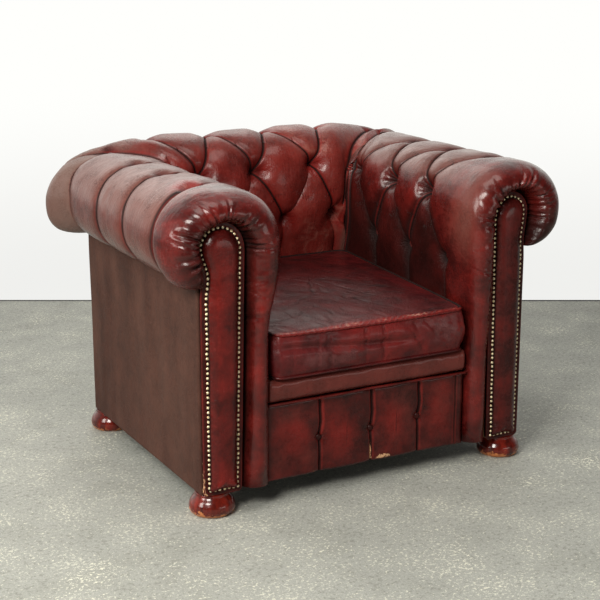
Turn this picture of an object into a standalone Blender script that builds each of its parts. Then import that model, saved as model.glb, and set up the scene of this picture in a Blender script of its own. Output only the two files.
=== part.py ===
"""Worn club chair with rolled arms and a buttoned back, built piece by piece.

Units are metres, +Z is up, the chair faces -Y. The origin is on the floor, under the middle of the
chair's box. Depths named "behind the facings" are measured from the plane of the two front facings.
"""
import math

import bmesh
import bpy
import numpy as np

# ---- overall size ---------------------------------------------------------------------------
DEPTH = 0.793            # front of the arm rolls to the rear of the back roll
BULGE = 0.020            # how far the arm rolls stand in front of the facings
FACE_Y = BULGE - DEPTH / 2
SIDE_X = 0.430           # outer face of the side panels
REAR = 0.681             # outer face of the back panel, behind the facings
OVERHANG = 0.092         # how far the rolls stand out over the panels
ARM_TOP = 0.730
BACK_TOP = 0.752
ROLL_SPRING = 0.600      # height where the inner face turns into the roll
ROLL_MID = 0.622         # height of the roll's outermost line
ROLL_LOW = 0.530         # height where the roll meets the panels
UNDERSIDE = 0.051        # lower edge of the upholstered body
GAP = 0.0003             # clearance between pieces that touch

# ---- tufting: section stations, runs and depths ---------------------------------------------
FLOOR_ROW = 0.352        # section station at the seat platform
ROW_B = 0.80
ROW_A = 1.196
CROWN = 2.0
STATIONS = (0.0, FLOOR_ROW, 0.58, ROW_B, 0.95, ROW_A, 1.5, 1.78, CROWN, 2.35, 2.7, 3.0, 3.5, 4.0)
PITCH = 0.081            # half of the button spacing along the arms and the back
ARM_FIRST = 0.121        # first crown button behind the facings
ARM_LAST = 0.526         # last whole column of the arms
BACK_LAST = 0.163        # last whole column of the back
ARM_FRACTIONS = (0.25, 0.5, 0.75, 1.0)     # shares of the run to the mitre, on the roll
CREASE_FRACTIONS = (0.5, 0.66, 0.83, 1.0)  # and on the inner face, where the run is short
BACK_FRACTIONS = (0.35, 0.58, 0.8, 1.0)
WELLS = {ROW_B: 0.040, ROW_A: 0.046, CROWN: 0.018}    # depth of a well's deepest point
WELL_REACH = 0.040
WELL_FLOOR = 0.64        # a button sits at this share of the well's depth
LEATHER = 0.003          # leather with its wadding
PAD_GAP = 0.0007
MITRE_GAP = 0.0004
COLUMN_BACK = 0.030      # the round front of the arms ends here, behind the facings
COLUMN_EDGE = 0.0345
CAP_ANGLES = (151, 122, 90, 58, 28, 0)

# ---- facings, boards and nails --------------------------------------------------------------
FACING_INNER = (0.335, 0.328)      # inner edge at the bottom and at the spring of the arch
FACING_MID = 0.378
FACING_OUTER = 0.427
FACING_TOP = 0.657
FACING_WIDE = 0.611                # height of the head's widest point on the outer side
FACING_NECK = (0.4175, 0.545)
FACING_THICK = 0.010
BOARD_THICK = 0.024
NAIL_INSET = (0.005, 0.013)
NAIL_HIGH = 0.0025

# ---- seat, feet, frame ----------------------------------------------------------------------
APRON_HALF = 0.2655
APRON_TOP = 0.2352
LIP_TOP = 0.292
RAIL_LOW = 0.0533
RAIL_TOP = 0.2312
SEAT_TOP = 0.2965
BUTTON_R = 0.009
BUTTON_H = 0.005
APRON_BUTTONS = (-0.133, 0.0, 0.133)
APRON_BUTTON_Z = 0.140
FOOT_AT = ((0.400, 0.034), (0.400, 0.664))
FOOT_PROFILE = ((0.041, 0.0), (0.0475, 0.005), (0.0535, 0.016), (0.0535, 0.029),
                (0.049, 0.041), (0.041, 0.0506))
SPRING_WIRE = 0.002
SPRING_X = (-0.195, -0.065, 0.065, 0.195)


def smooth(v):
    """Smooth step of v from 0 to 1."""
    v = np.clip(v, 0.0, 1.0)
    return v * v * (3.0 - 2.0 * v)


def quarter(v, power=2.0):
    """Across and up parts of a rounded quarter turn, v from 0 to 1."""
    angle = np.clip(v, 0.0, 1.0) * math.pi / 2
    return np.cos(angle) ** (2.0 / power), np.sin(angle) ** (2.0 / power)


def roll_section(u, face_in, seat_in, crown_in, top, lift=0.0):
    """Inset from the panel line and height of the leather at the stations u.

    0-1 is the inner face, 1-2 the shoulder, 2-3 the outer top and 3-4 the under side of the roll.
    The lower row of buttons is raised by lift.
    """
    z = UNDERSIDE + 0.001 + (ROLL_SPRING - UNDERSIDE - 0.001) * np.clip(u, 0, 1)
    z = z + np.interp(u, (FLOOR_ROW, ROW_B, 1.0), (0.0, lift, 0.0))
    inset = seat_in + (face_in - seat_in) * smooth((z - 0.40) / 0.13)
    across, up = quarter(u - 1, 2.5)
    inset = np.where(u > 1, crown_in + (face_in - crown_in) * across, inset)
    z = np.where(u > 1, ROLL_SPRING + (top - ROLL_SPRING) * up, z)
    across, up = quarter(3 - u)
    inset = np.where(u > 2, crown_in - (crown_in + OVERHANG) * across, inset)
    z = np.where(u > 2, ROLL_MID + (top - ROLL_MID) * up, z)
    across, up = quarter(u - 3)
    inset = np.where(u > 3, -OVERHANG * across, inset)
    z = np.where(u > 3, ROLL_MID - (ROLL_MID - ROLL_LOW) * up, z)
    return inset, z


def keyhole(u, margin=0.0):
    """Across and height of the facing's keyhole outline at the stations u, on the right arm."""
    low = UNDERSIDE + 0.001
    z = low + (ROLL_SPRING - low) * np.clip(u, 0, 1)
    x = FACING_INNER[0] + (FACING_INNER[1] - FACING_INNER[0]) * np.clip(u, 0, 1) - margin
    across, up = quarter(u - 1)
    half = FACING_MID - FACING_INNER[1] + margin
    x = np.where(u > 1, FACING_MID - half * across, x)
    z = np.where(u > 1, ROLL_SPRING + (FACING_TOP + margin - ROLL_SPRING) * up, z)
    across, up = quarter(3 - u)
    x = np.where(u > 2, FACING_MID + half * across, x)
    z = np.where(u > 2, FACING_WIDE + (FACING_TOP + margin - FACING_WIDE) * up, z)
    v = np.clip(u - 3, 0, 1)
    bulge = FACING_MID + half
    x = np.where(u > 3, bulge + (FACING_NECK[0] + margin - bulge) * smooth(v), x)
    z = np.where(u > 3, FACING_WIDE + (FACING_NECK[1] - FACING_WIDE) * v, z)
    return x, z


ARM_LEATHER = dict(face_in=0.175, seat_in=0.162, crown_in=0.030, top=ARM_TOP)
BACK_LEATHER = dict(face_in=0.128, seat_in=0.083, crown_in=-0.008, top=BACK_TOP, lift=0.024)


def back_core(u):
    """Inset of the frame side of the back pad: the keyhole's shape, squeezed to the back rail."""
    x, z = keyhole(u, 0.001)
    across = (SIDE_X - x - 0.0115) / (SIDE_X - FACING_INNER[1] + 0.001 - 0.0115)
    return 0.0105 + 0.0455 * np.clip(across, 0.0, 1.0)


def corner_run(inset, back_inset, start, fraction, along_back):
    """Point at a share of the way from a whole column to the mitre of the corner.

    The run is straight, then a quarter arc about the panels' corner where the roll overhangs;
    inner stations have no arc, so the arm and the back meet in a sharp crease.
    """
    radius = np.maximum(0.0, np.minimum(-inset, -back_inset))
    end_x = SIDE_X - inset - radius
    end_y = REAR - back_inset - radius
    straight = (end_x if along_back else end_y) - start
    way = fraction * (straight + radius * math.pi / 4)
    turn = np.clip(way - straight, 0, None) / np.maximum(radius, 1e-9)
    turn = np.where(radius > 0, np.minimum(turn, math.pi / 4), 0.0)
    on = start + np.minimum(way, straight)
    if along_back:
        return on + radius * np.sin(turn), end_y + radius * np.cos(turn)
    return end_x + radius * np.cos(turn), on + radius * np.sin(turn)


def arm_grids():
    """Leather and frame-side grids of the right arm, rows along the section, columns to the rear."""
    u = np.array(STATIONS)
    inset, z = roll_section(u, **ARM_LEATHER)
    back_inset, _ = roll_section(u, **BACK_LEATHER)
    core_x, core_z = keyhole(u, 0.001)
    core_back = back_core(u)
    skin, core = [], []
    reach = 1 - math.cos(math.radians(CAP_ANGLES[0]))
    for step, angle in enumerate(CAP_ANGLES):
        share = (1 - math.cos(math.radians(angle))) / reach
        y = COLUMN_BACK - (COLUMN_BACK + BULGE) * math.sin(math.radians(angle))
        x = (SIDE_X - inset) * (1 - share) + core_x * share
        skin.append(np.stack([x, np.full_like(x, y), z * (1 - share) + core_z * share], 1))
        behind = FACING_THICK + 0.002 + step * 0.0036
        core.append(np.stack([core_x, np.full_like(x, behind), core_z], 1))
    columns = [COLUMN_EDGE] + list(np.arange(ARM_FIRST - PITCH / 2, ARM_LAST + 0.001, PITCH / 2))
    floor_z = z[STATIONS.index(FLOOR_ROW)]
    for y in columns:
        skin.append(np.stack([SIDE_X - inset, np.full_like(z, y), np.maximum(z, floor_z)], 1))
        core.append(np.stack([core_x, np.full_like(z, y), np.maximum(core_z, floor_z)], 1))
    on_face = smooth(CROWN - u)
    for roll_share, face_share in zip(ARM_FRACTIONS, CREASE_FRACTIONS):
        fraction = roll_share + (face_share - roll_share) * on_face
        shift = MITRE_GAP if roll_share == 1.0 else 0.0
        x, y = corner_run(inset, back_inset, ARM_LAST, fraction, False)
        skin.append(np.stack([x, y - shift, np.maximum(z, floor_z)], 1))
        x, y = corner_run(SIDE_X - core_x, core_back, ARM_LAST, fraction, False)
        core.append(np.stack([x, y - shift, np.maximum(core_z, floor_z)], 1))
    return np.stack(skin, 1), np.stack(core, 1)


def back_grids():
    """Leather and frame-side grids of the back, columns from the left mitre to the right one."""
    u = np.array(STATIONS)
    inset, arm_z = roll_section(u, **ARM_LEATHER)
    back_inset, back_z = roll_section(u, **BACK_LEATHER)
    core_x, core_z = keyhole(u, 0.001)
    core_back = back_core(u)
    floor_z = arm_z[STATIONS.index(FLOOR_ROW)]
    skin, core = [], []
    for x in np.arange(0.0, BACK_LAST + 0.01, BACK_LAST / 4):
        across = np.full_like(u, x)
        skin.append(np.stack([across, REAR - back_inset, np.maximum(back_z, floor_z)], 1))
        core.append(np.stack([across, REAR - core_back, np.maximum(core_z, floor_z)], 1))
    for fraction in BACK_FRACTIONS:
        shift = MITRE_GAP if fraction == 1.0 else 0.0
        z = arm_z + (back_z - arm_z) * smooth(1 - fraction)
        x, y = corner_run(inset, back_inset, BACK_LAST, fraction, True)
        skin.append(np.stack([x - shift, y, np.maximum(z, floor_z)], 1))
        x, y = corner_run(SIDE_X - core_x, core_back, BACK_LAST, fraction, True)
        core.append(np.stack([x - shift, y, np.maximum(core_z, floor_z)], 1))
    mirror = np.array([-1.0, 1.0, 1.0])
    skin = [column * mirror for column in reversed(skin[1:])] + skin
    core = [column * mirror for column in reversed(core[1:])] + core
    return np.stack(skin, 1), np.stack(core, 1)


def grid_normals(points, facing):
    """Unit normals of a grid, pointing out of the upholstery when facing is 1 or -1 to suit."""
    along = np.gradient(points, axis=1)
    up = np.gradient(points, axis=0)
    normal = facing * np.cross(up, along)
    for row in range(STATIONS.index(FLOOR_ROW)):
        collapsed = np.linalg.norm(normal[row], axis=1) < 1e-9
        normal[row][collapsed] = normal[STATIONS.index(FLOOR_ROW) + 1][collapsed]
    length = np.linalg.norm(normal, axis=2, keepdims=True)
    return normal / np.maximum(length, 1e-12)


def turn_to_mitre(normal, column, side):
    """Turn a mitre column's normals into the mitre's own plane where the roll overhangs."""
    diagonal = np.array([side, 1.0]) / math.sqrt(2)
    for row in range(STATIONS.index(CROWN) + 1, len(STATIONS)):
        level = np.linalg.norm(normal[row, column, :2])
        normal[row, column, :2] = level * diagonal


def shell_mesh(name, outer, inner, buttons=()):
    """Closed solid between two grids; the outer grid gets a flat seat at each button point."""
    rows, cols, _ = outer.shape
    mesh = bmesh.new()
    layers = []
    for grid in (outer, inner):
        layers.append([[mesh.verts.new(grid[i, j]) for j in range(cols)] for i in range(rows)])
    for side, layer in enumerate(layers):
        for i in range(rows - 1):
            for j in range(cols - 1):
                a, b = layer[i][j], layer[i + 1][j]
                c, d = layer[i + 1][j + 1], layer[i][j + 1]
                for tri in ((a, b, c), (a, c, d)):
                    mesh.faces.new(tri if side == 0 else tri[::-1])
    rim = [(i, 0) for i in range(rows)] + [(rows - 1, j) for j in range(1, cols)]
    rim += [(i, cols - 1) for i in range(rows - 2, -1, -1)]
    rim += [(0, j) for j in range(cols - 2, 0, -1)]
    for here, there in zip(rim, rim[1:] + rim[:1]):
        a, b = (layer[here[0]][here[1]] for layer in layers)
        c, d = (layer[there[0]][there[1]] for layer in layers)
        split = ((c, a, d), (a, b, d)) if here < there else ((c, a, b), (c, b, d))
        for tri in split:
            mesh.faces.new(tri)
    seats = []
    for (i, j), seat, normal in buttons:
        vert = layers[0][i][j]
        reach = min(0.024, 0.9 * min(edge.calc_length() for edge in vert.link_edges))
        cut = bmesh.ops.bevel(mesh, geom=[vert], offset=reach, segments=1,
                              affect="VERTICES", offset_type="OFFSET", profile=0.5)
        seats.append((cut["verts"], seat, normal))
    for verts, seat, normal in seats:
        for vert in verts:
            off = np.dot(np.array(vert.co) - seat, normal)
            vert.co = np.array(vert.co) - off * normal
    bmesh.ops.remove_doubles(mesh, verts=mesh.verts, dist=1e-5)
    bmesh.ops.dissolve_degenerate(mesh, edges=mesh.edges, dist=1e-6)
    bmesh.ops.triangulate(mesh, faces=mesh.faces)
    bmesh.ops.recalc_face_normals(mesh, faces=mesh.faces)
    data = bpy.data.meshes.new(name)
    mesh.to_mesh(data)
    mesh.free()
    return data


def material(name, colour, roughness, metallic=0.0):
    """Plain Principled material for one piece."""
    made = bpy.data.materials.new(name)
    made.use_nodes = True
    shader = made.node_tree.nodes["Principled BSDF"]
    shader.inputs["Base Color"].default_value = (*colour, 1.0)
    shader.inputs["Roughness"].default_value = roughness
    shader.inputs["Metallic"].default_value = metallic
    return made


OXBLOOD = ((0.085, 0.012, 0.012), 0.35, 0.0)
BEECH = ((0.45, 0.29, 0.16), 0.6, 0.0)
MAHOGANY = ((0.10, 0.012, 0.006), 0.2, 0.0)
FOAM = ((0.62, 0.55, 0.38), 0.9, 0.0)
CLOTH = ((0.03, 0.03, 0.03), 0.9, 0.0)
STEEL = ((0.45, 0.45, 0.46), 0.35, 1.0)
BRASS = ((0.50, 0.32, 0.12), 0.35, 1.0)


def add(name, data, finish, at=(0.0, 0.0, 0.0), rotation=(0.0, 0.0, 0.0), round_piece=True):
    """Object for one node, placed behind the facings' plane."""
    if round_piece:
        data.shade_smooth()
        data.set_sharp_from_angle(angle=math.radians(40))
    piece = bpy.data.objects.new(name, data)
    piece.location = (at[0], at[1] + FACE_Y, at[2])
    piece.rotation_euler = rotation
    data.materials.clear()
    data.materials.append(material(name, *finish))
    bpy.context.scene.collection.objects.link(piece)
    return piece


def block(name, low, high, finish, bevel=0.002, segments=1):
    """Square-cut piece between two corners, its edges eased with a Bevel modifier."""
    mesh = bmesh.new()
    size = [b - a for a, b in zip(low, high)]
    bmesh.ops.create_cube(mesh, size=1.0)
    bmesh.ops.scale(mesh, vec=size, verts=mesh.verts)
    data = bpy.data.meshes.new(name)
    mesh.to_mesh(data)
    mesh.free()
    middle = [(a + b) / 2 for a, b in zip(low, high)]
    piece = add(name, data, finish, at=middle, round_piece=segments > 1)
    ease = piece.modifiers.new("eased_edges", "BEVEL")
    ease.width = bevel
    ease.segments = segments
    ease.limit_method = "ANGLE"
    return piece


def plate(name, outline, front, back, finish, mirror):
    """Board of an outline in across and height, from one depth to another."""
    mesh = bmesh.new()
    ring = [mesh.verts.new((x * mirror, front, z)) for x, z in outline]
    face = mesh.faces.new(ring)
    moved = bmesh.ops.extrude_face_region(mesh, geom=[face])
    pushed = [item for item in moved["geom"] if isinstance(item, bmesh.types.BMVert)]
    bmesh.ops.translate(mesh, vec=(0.0, back - front, 0.0), verts=pushed)
    bmesh.ops.recalc_face_normals(mesh, faces=mesh.faces)
    data = bpy.data.meshes.new(name)
    mesh.to_mesh(data)
    mesh.free()
    return add(name, data, finish, round_piece=False)


def facing_outline(shrink, outer=FACING_OUTER):
    """Keyhole outline of a front facing, drawn in by shrink all round."""
    x, z = keyhole(np.array(STATIONS), -shrink)
    z[0] += shrink
    low = UNDERSIDE + 0.001 + shrink
    return list(zip(x, z)) + [(outer - shrink, 0.50), (outer - shrink, low)]


def ring_band(name, outline, inner_outline, front, back, finish, mirror):
    """Closed band between two outlines with equal numbers of points."""
    count = len(outline)
    mesh = bmesh.new()
    loops = []
    for ring, y in ((outline, back), (outline, front), (inner_outline, front), (inner_outline, back)):
        loops.append([mesh.verts.new((x * mirror, y, z)) for x, z in ring])
    for here, there in zip(loops, loops[1:] + loops[:1]):
        for k in range(count):
            nxt = (k + 1) % count
            mesh.faces.new((here[k], here[nxt], there[nxt], there[k]))
    bmesh.ops.recalc_face_normals(mesh, faces=mesh.faces)
    data = bpy.data.meshes.new(name)
    mesh.to_mesh(data)
    mesh.free()
    return add(name, data, finish, round_piece=False)


def turned(name, profile, finish, at, rotation=(0.0, 0.0, 0.0), segments=16):
    """Solid of revolution about its own Z, from radius and height points, bottom to top."""
    mesh = bmesh.new()
    rings = []
    for radius, height in profile:
        angles = [2 * math.pi * k / segments for k in range(segments)]
        rings.append([mesh.verts.new((radius * math.cos(a), radius * math.sin(a), height))
                      for a in angles])
    for low, high in zip(rings, rings[1:]):
        for k in range(segments):
            nxt = (k + 1) % segments
            mesh.faces.new((low[k], low[nxt], high[nxt], high[k]))
    mesh.faces.new(rings[0][::-1])
    mesh.faces.new(rings[-1])
    data = bpy.data.meshes.new(name)
    mesh.to_mesh(data)
    mesh.free()
    return add(name, data, finish, at=at, rotation=rotation)


def button(name, seat, normal):
    """Covered button, its flat base just clear of its seat."""
    profile = ((BUTTON_R * 0.93, 0.0), (BUTTON_R, BUTTON_H * 0.3),
               (BUTTON_R * 0.72, BUTTON_H * 0.8), (BUTTON_R * 0.3, BUTTON_H))
    nx, ny, nz = normal
    tilt = math.acos(max(-1.0, min(1.0, nz)))
    turn = math.atan2(ny, nx)
    base = np.array(seat) + GAP * np.array(normal)
    return turned(name, profile, OXBLOOD, at=base, rotation=(0.0, tilt, turn), segments=8)


def tufted(name, skin, core, wells, facing, mitres):
    """Leather cover and pad of one arm or the back, with its wells and the rows' buttons.

    A well is a cone: its depth falls to nothing over WELL_REACH, and it stops at a mitre.
    """
    normal = grid_normals(skin, facing)
    for column, side in mitres:
        turn_to_mitre(normal, column, side)
    sink = np.zeros(skin.shape[:2])
    seats = []
    for (row, column), depth in wells.items():
        away = np.linalg.norm(skin - skin[row, column], axis=2)
        sink = np.maximum(sink, depth * np.clip(1 - away / WELL_REACH, 0, 1))
        seat = skin[row, column] - WELL_FLOOR * depth * normal[row, column]
        seats.append(((row, column), seat, normal[row, column]))
    sink[:, [column for column, _ in mitres]] = 0.0
    sunk = skin - sink[:, :, None] * normal
    under = sunk - LEATHER * normal
    pad_top = sunk - (LEATHER + PAD_GAP) * normal
    cover = shell_mesh(name + "_cover", sunk, under, seats)
    pad = shell_mesh(name + "_pad", pad_top, core)
    return cover, pad, seats


def mirrored(data, name):
    """Copy of a mesh mirrored left to right, with its faces turned back outwards."""
    copy = data.copy()
    copy.name = name
    mesh = bmesh.new()
    mesh.from_mesh(copy)
    bmesh.ops.scale(mesh, vec=(-1.0, 1.0, 1.0), verts=mesh.verts)
    bmesh.ops.reverse_faces(mesh, faces=mesh.faces)
    mesh.to_mesh(copy)
    mesh.free()
    return copy


def make_arms():
    """Right arm's cover, pad and buttons, and the left arm's as their mirror image."""
    skin, core = arm_grids()
    first = len(CAP_ANGLES) + 1
    even = [first + 1 + 4 * k for k in range(3)]
    odd = [first + 3 + 4 * k for k in range(3)]
    crown_last = skin.shape[1] - 1 - (len(ARM_FRACTIONS) - 1 - ARM_FRACTIONS.index(0.5))
    wells = {}
    for row, columns in ((CROWN, even + [crown_last]), (ROW_A, odd), (ROW_B, even)):
        for column in columns:
            wells[STATIONS.index(row), column] = WELLS[row]
    cover, pad, seats = tufted("arm", skin, core, wells, 1.0, ((-1, 1.0),))
    for side, mirror in (("right", 1.0), ("left", -1.0)):
        if mirror > 0:
            add("arm_cover_right", cover.copy(), OXBLOOD)
            add("arm_pad_right", pad.copy(), FOAM)
        else:
            add("arm_cover_left", mirrored(cover, "arm_cover_left"), OXBLOOD)
            add("arm_pad_left", mirrored(pad, "arm_pad_left"), FOAM)
        flip = np.array([mirror, 1.0, 1.0])
        for row, label in ((ROW_A, "upper"), (ROW_B, "lower")):
            chosen = [s for s in seats if s[0][0] == STATIONS.index(row)]
            for count, (_, seat, normal) in enumerate(chosen, 1):
                button(f"button_arm_{side}_{label}_{count}", seat * flip, normal * flip)


def make_back():
    """Back cover, back pad and the buttons of the back's two visible rows."""
    skin, core = back_grids()
    middle = (skin.shape[1] - 1) // 2
    crown = [middle + side * step for step in (2, 5) for side in (-1, 1)]
    upper = [middle - 4, middle, middle + 4]
    lower = [middle + side * step for step in (2, 7) for side in (-1, 1)]
    wells = {}
    for row, columns in ((CROWN, crown), (ROW_A, upper), (ROW_B, lower)):
        for column in columns:
            wells[STATIONS.index(row), column] = WELLS[row]
    cover, pad, seats = tufted("back", skin, core, wells, -1.0, ((0, -1.0), (-1, 1.0)))
    add("back_cover", cover, OXBLOOD)
    add("back_pad", pad, FOAM)
    for row, label in ((ROW_A, "upper"), (ROW_B, "lower")):
        chosen = sorted((s for s in seats if s[0][0] == STATIONS.index(row)), key=lambda s: s[0][1])
        for count, (_, seat, normal) in enumerate(chosen, 1):
            button(f"button_back_{label}_{count}", seat, normal)


def make_facings():
    """Facings, the boards behind them and the nail bands on them."""
    for side, mirror in (("right", 1.0), ("left", -1.0)):
        plate("facing_" + side, facing_outline(0.0), 0.0, FACING_THICK, OXBLOOD, mirror)
        start = FACING_THICK + GAP
        plate("front_board_" + side, facing_outline(0.001, SIDE_X - 0.0095),
              start, start + BOARD_THICK, BEECH, mirror)
        ring_band("nail_band_" + side, facing_outline(NAIL_INSET[0]), facing_outline(NAIL_INSET[1]),
                  -GAP - NAIL_HIGH, -GAP, BRASS, mirror)


def make_frame():
    """Beech rails and posts inside the upholstery."""
    front = FACING_THICK + BOARD_THICK + 2 * GAP
    post = (0.365, 0.6300, 0.4170, 0.6700)
    block("seat_rail_front", (-0.4195, front, RAIL_LOW), (0.4195, front + 0.025, RAIL_TOP), BEECH)
    block("seat_rail_back", (-post[0] + GAP, 0.6320, RAIL_LOW), (post[0] - GAP, 0.6700, RAIL_TOP), BEECH)
    block("back_top_rail", (-post[0] + GAP, 0.6320, 0.575), (post[0] - GAP, 0.6700, 0.625), BEECH)
    for side, mirror in (("right", 1), ("left", -1)):
        def span(a, b):
            return (a, b) if mirror > 0 else (-b, -a)
        x0, x1 = span(0.378, 0.4195)
        block("seat_rail_" + side, (x0, front + 0.025 + GAP, RAIL_LOW),
              (x1, post[1] - GAP, RAIL_TOP), BEECH)
        x0, x1 = span(post[0], post[2])
        block("back_post_" + side, (x0, post[1], RAIL_LOW), (x1, post[3], 0.625), BEECH)
        x0, x1 = span(0.347, 0.405)
        block("arm_rail_" + side, (x0, front, 0.575), (x1, post[1] - GAP, 0.620), BEECH)
        x0, x1 = span(0.420, SIDE_X)
        block("outside_arm_" + side, (x0, FACING_THICK + 0.0005, UNDERSIDE),
              (x1, REAR, ROLL_LOW - 0.0006), OXBLOOD, bevel=0.004, segments=2)
    block("outside_back", (-0.4195, REAR - 0.0105, UNDERSIDE), (0.4195, REAR, ROLL_LOW - 0.0006),
          OXBLOOD, bevel=0.004, segments=2)
    block("dust_cover", (-0.4190, front + GAP, UNDERSIDE), (0.4190, REAR - 0.0110, UNDERSIDE + 0.002),
          CLOTH, bevel=0.0005)


def serpentine(name, x_at, y_start, y_end, z_at):
    """Zigzag seat spring: a sine wave across X, run from rail to rail, with a round section."""
    waves, steps, swing, sides = 6, 36, 0.022, 6
    t = np.linspace(0.0, 1.0, steps + 1)
    path = np.stack([x_at + swing * np.sin(2 * math.pi * waves * t),
                     y_start + (y_end - y_start) * t, np.full_like(t, z_at)], 1)
    tangent = np.gradient(path, axis=0)
    tangent /= np.linalg.norm(tangent, axis=1, keepdims=True)
    up = np.array([0.0, 0.0, 1.0])
    across = np.cross(tangent, up)
    mesh = bmesh.new()
    rings = []
    for point, side in zip(path, across):
        ring = []
        for k in range(sides):
            angle = 2 * math.pi * k / sides
            place = point + SPRING_WIRE * (math.cos(angle) * side + math.sin(angle) * up)
            ring.append(mesh.verts.new(place))
        rings.append(ring)
    for here, there in zip(rings, rings[1:]):
        for k in range(sides):
            nxt = (k + 1) % sides
            mesh.faces.new((here[k], here[nxt], there[nxt], there[k]))
    mesh.faces.new(rings[0])
    mesh.faces.new(rings[-1])
    bmesh.ops.recalc_face_normals(mesh, faces=mesh.faces)
    data = bpy.data.meshes.new(name)
    mesh.to_mesh(data)
    mesh.free()
    add(name, data, STEEL)


def make_seat():
    """Apron, lip, springs, platform and the apron's buttons."""
    front = FACING_THICK + BOARD_THICK + 2 * GAP
    block("front_apron", (-APRON_HALF, 0.012, UNDERSIDE), (APRON_HALF, front - GAP, APRON_TOP),
          OXBLOOD, bevel=0.005, segments=2)
    low = RAIL_TOP + 2 * GAP + 2 * SPRING_WIRE
    block("front_lip", (-APRON_HALF, 0.004, low), (APRON_HALF, 0.075, LIP_TOP),
          OXBLOOD, bevel=0.020, segments=4)
    for count, x_at in enumerate(SPRING_X, 1):
        serpentine(f"seat_spring_{count}", x_at, 0.040, 0.665, RAIL_TOP + GAP + SPRING_WIRE)
    block("seat_platform", (-APRON_HALF, 0.0755, low), (APRON_HALF, 0.594, SEAT_TOP),
          CLOTH, bevel=0.006, segments=2)
    for count, x_at in enumerate(APRON_BUTTONS, 1):
        button(f"button_apron_{count}", (x_at, 0.012, APRON_BUTTON_Z), (0.0, -1.0, 0.0))


def pillow(inset):
    """Grid of the seat cushion's surface: a superellipsoid, wider and higher at the rear.

    Rows run from the flat bottom to the top pole and columns run round the plan, starting at the
    front. Powers near 0.2 make the sides square, with round corners.
    """
    rows, cols = 9, 28
    lift = np.linspace(-math.pi / 2, math.pi / 2, rows)[1:-1]
    around = np.linspace(0, 2 * math.pi, cols, endpoint=False) - math.pi / 2
    cl = np.abs(np.cos(lift)) ** 0.22
    sl = np.sign(np.sin(lift)) * np.abs(np.sin(lift)) ** 0.75
    sl[0] = -1.0
    ca = np.sign(np.cos(around)) * np.abs(np.cos(around)) ** 0.28
    sa = np.sign(np.sin(around)) * np.abs(np.sin(around)) ** 0.28
    half_y = (0.5895 + 0.004) / 2 - inset
    y = half_y * cl[:, None] * sa[None, :]
    half_x = 0.2515 + 0.009 * (y / half_y + 1) / 2 - inset
    x = half_x * cl[:, None] * ca[None, :]
    rise = (y / half_y + 1) / 2
    half_z = 0.0525 + 0.010 * rise - inset
    z = half_z * sl[:, None] * np.ones_like(x)
    middle_z = SEAT_TOP + GAP + 0.0525 + 0.010 * rise
    return np.stack([x, y + (0.5895 - 0.004) / 2, z + middle_z], 2)


def pillow_layer(mesh, grid, window):
    """Faces of one closed pillow surface, left open at the window's cells."""
    rows, cols, _ = grid.shape
    verts = [[mesh.verts.new(grid[i, j]) for j in range(cols)] for i in range(rows)]
    bottom = mesh.verts.new(grid[0].mean(axis=0))
    top = mesh.verts.new(grid[-1].mean(axis=0) + np.array([0.0, 0.0, 0.003]))
    for i in range(rows - 1):
        for j in range(cols):
            nxt = (j + 1) % cols
            if (i, j) not in window:
                mesh.faces.new((verts[i][j], verts[i][nxt], verts[i + 1][nxt], verts[i + 1][j]))
    for j in range(cols):
        nxt = (j + 1) % cols
        mesh.faces.new((bottom, verts[0][nxt], verts[0][j]))
        mesh.faces.new((top, verts[-1][j], verts[-1][nxt]))
    return verts


def make_cushion():
    """Loose cushion: leather cover with its zip opening at the rear, and the foam core."""
    zip_row, zip_columns = 3, range(11, 17)
    window = {(zip_row, j) for j in zip_columns}
    mesh = bmesh.new()
    outer = pillow_layer(mesh, pillow(0.0), window)
    inner = pillow_layer(mesh, pillow(0.0018), window)
    first, last = zip_columns[0], zip_columns[-1] + 1
    rim = [(zip_row, j) for j in range(first, last + 1)]
    rim += [(zip_row + 1, j) for j in range(last, first - 1, -1)]
    for (i, j), (k, m) in zip(rim, rim[1:] + rim[:1]):
        mesh.faces.new((outer[i][j], outer[k][m], inner[k][m], inner[i][j]))
    bmesh.ops.triangulate(mesh, faces=mesh.faces)
    bmesh.ops.recalc_face_normals(mesh, faces=mesh.faces)
    data = bpy.data.meshes.new("cushion_cover")
    mesh.to_mesh(data)
    mesh.free()
    add("cushion_cover", data, OXBLOOD)
    mesh = bmesh.new()
    pillow_layer(mesh, pillow(0.0026), ())
    bmesh.ops.triangulate(mesh, faces=mesh.faces)
    bmesh.ops.recalc_face_normals(mesh, faces=mesh.faces)
    data = bpy.data.meshes.new("cushion_core")
    mesh.to_mesh(data)
    mesh.free()
    add("cushion_core", data, FOAM)


def make_feet():
    """Four turned bun feet."""
    for place, (x, y) in zip(("front", "back"), FOOT_AT):
        for side, mirror in (("right", 1), ("left", -1)):
            turned(f"foot_{place}_{side}", FOOT_PROFILE, MAHOGANY, at=(x * mirror, y, 0.0))


for old in list(bpy.data.objects):
    bpy.data.objects.remove(old, do_unlink=True)
make_frame()
make_facings()
make_arms()
make_back()
make_seat()
make_cushion()
make_feet()
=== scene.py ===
"""Looks of a worn club chair: buttoned oxblood leather over rolled arms and back.

Metres, +Z up, the chair faces -Y. Depths named "behind the facings" are measured from the plane of
the two front facings, as in the CAD.
"""
import math

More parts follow.
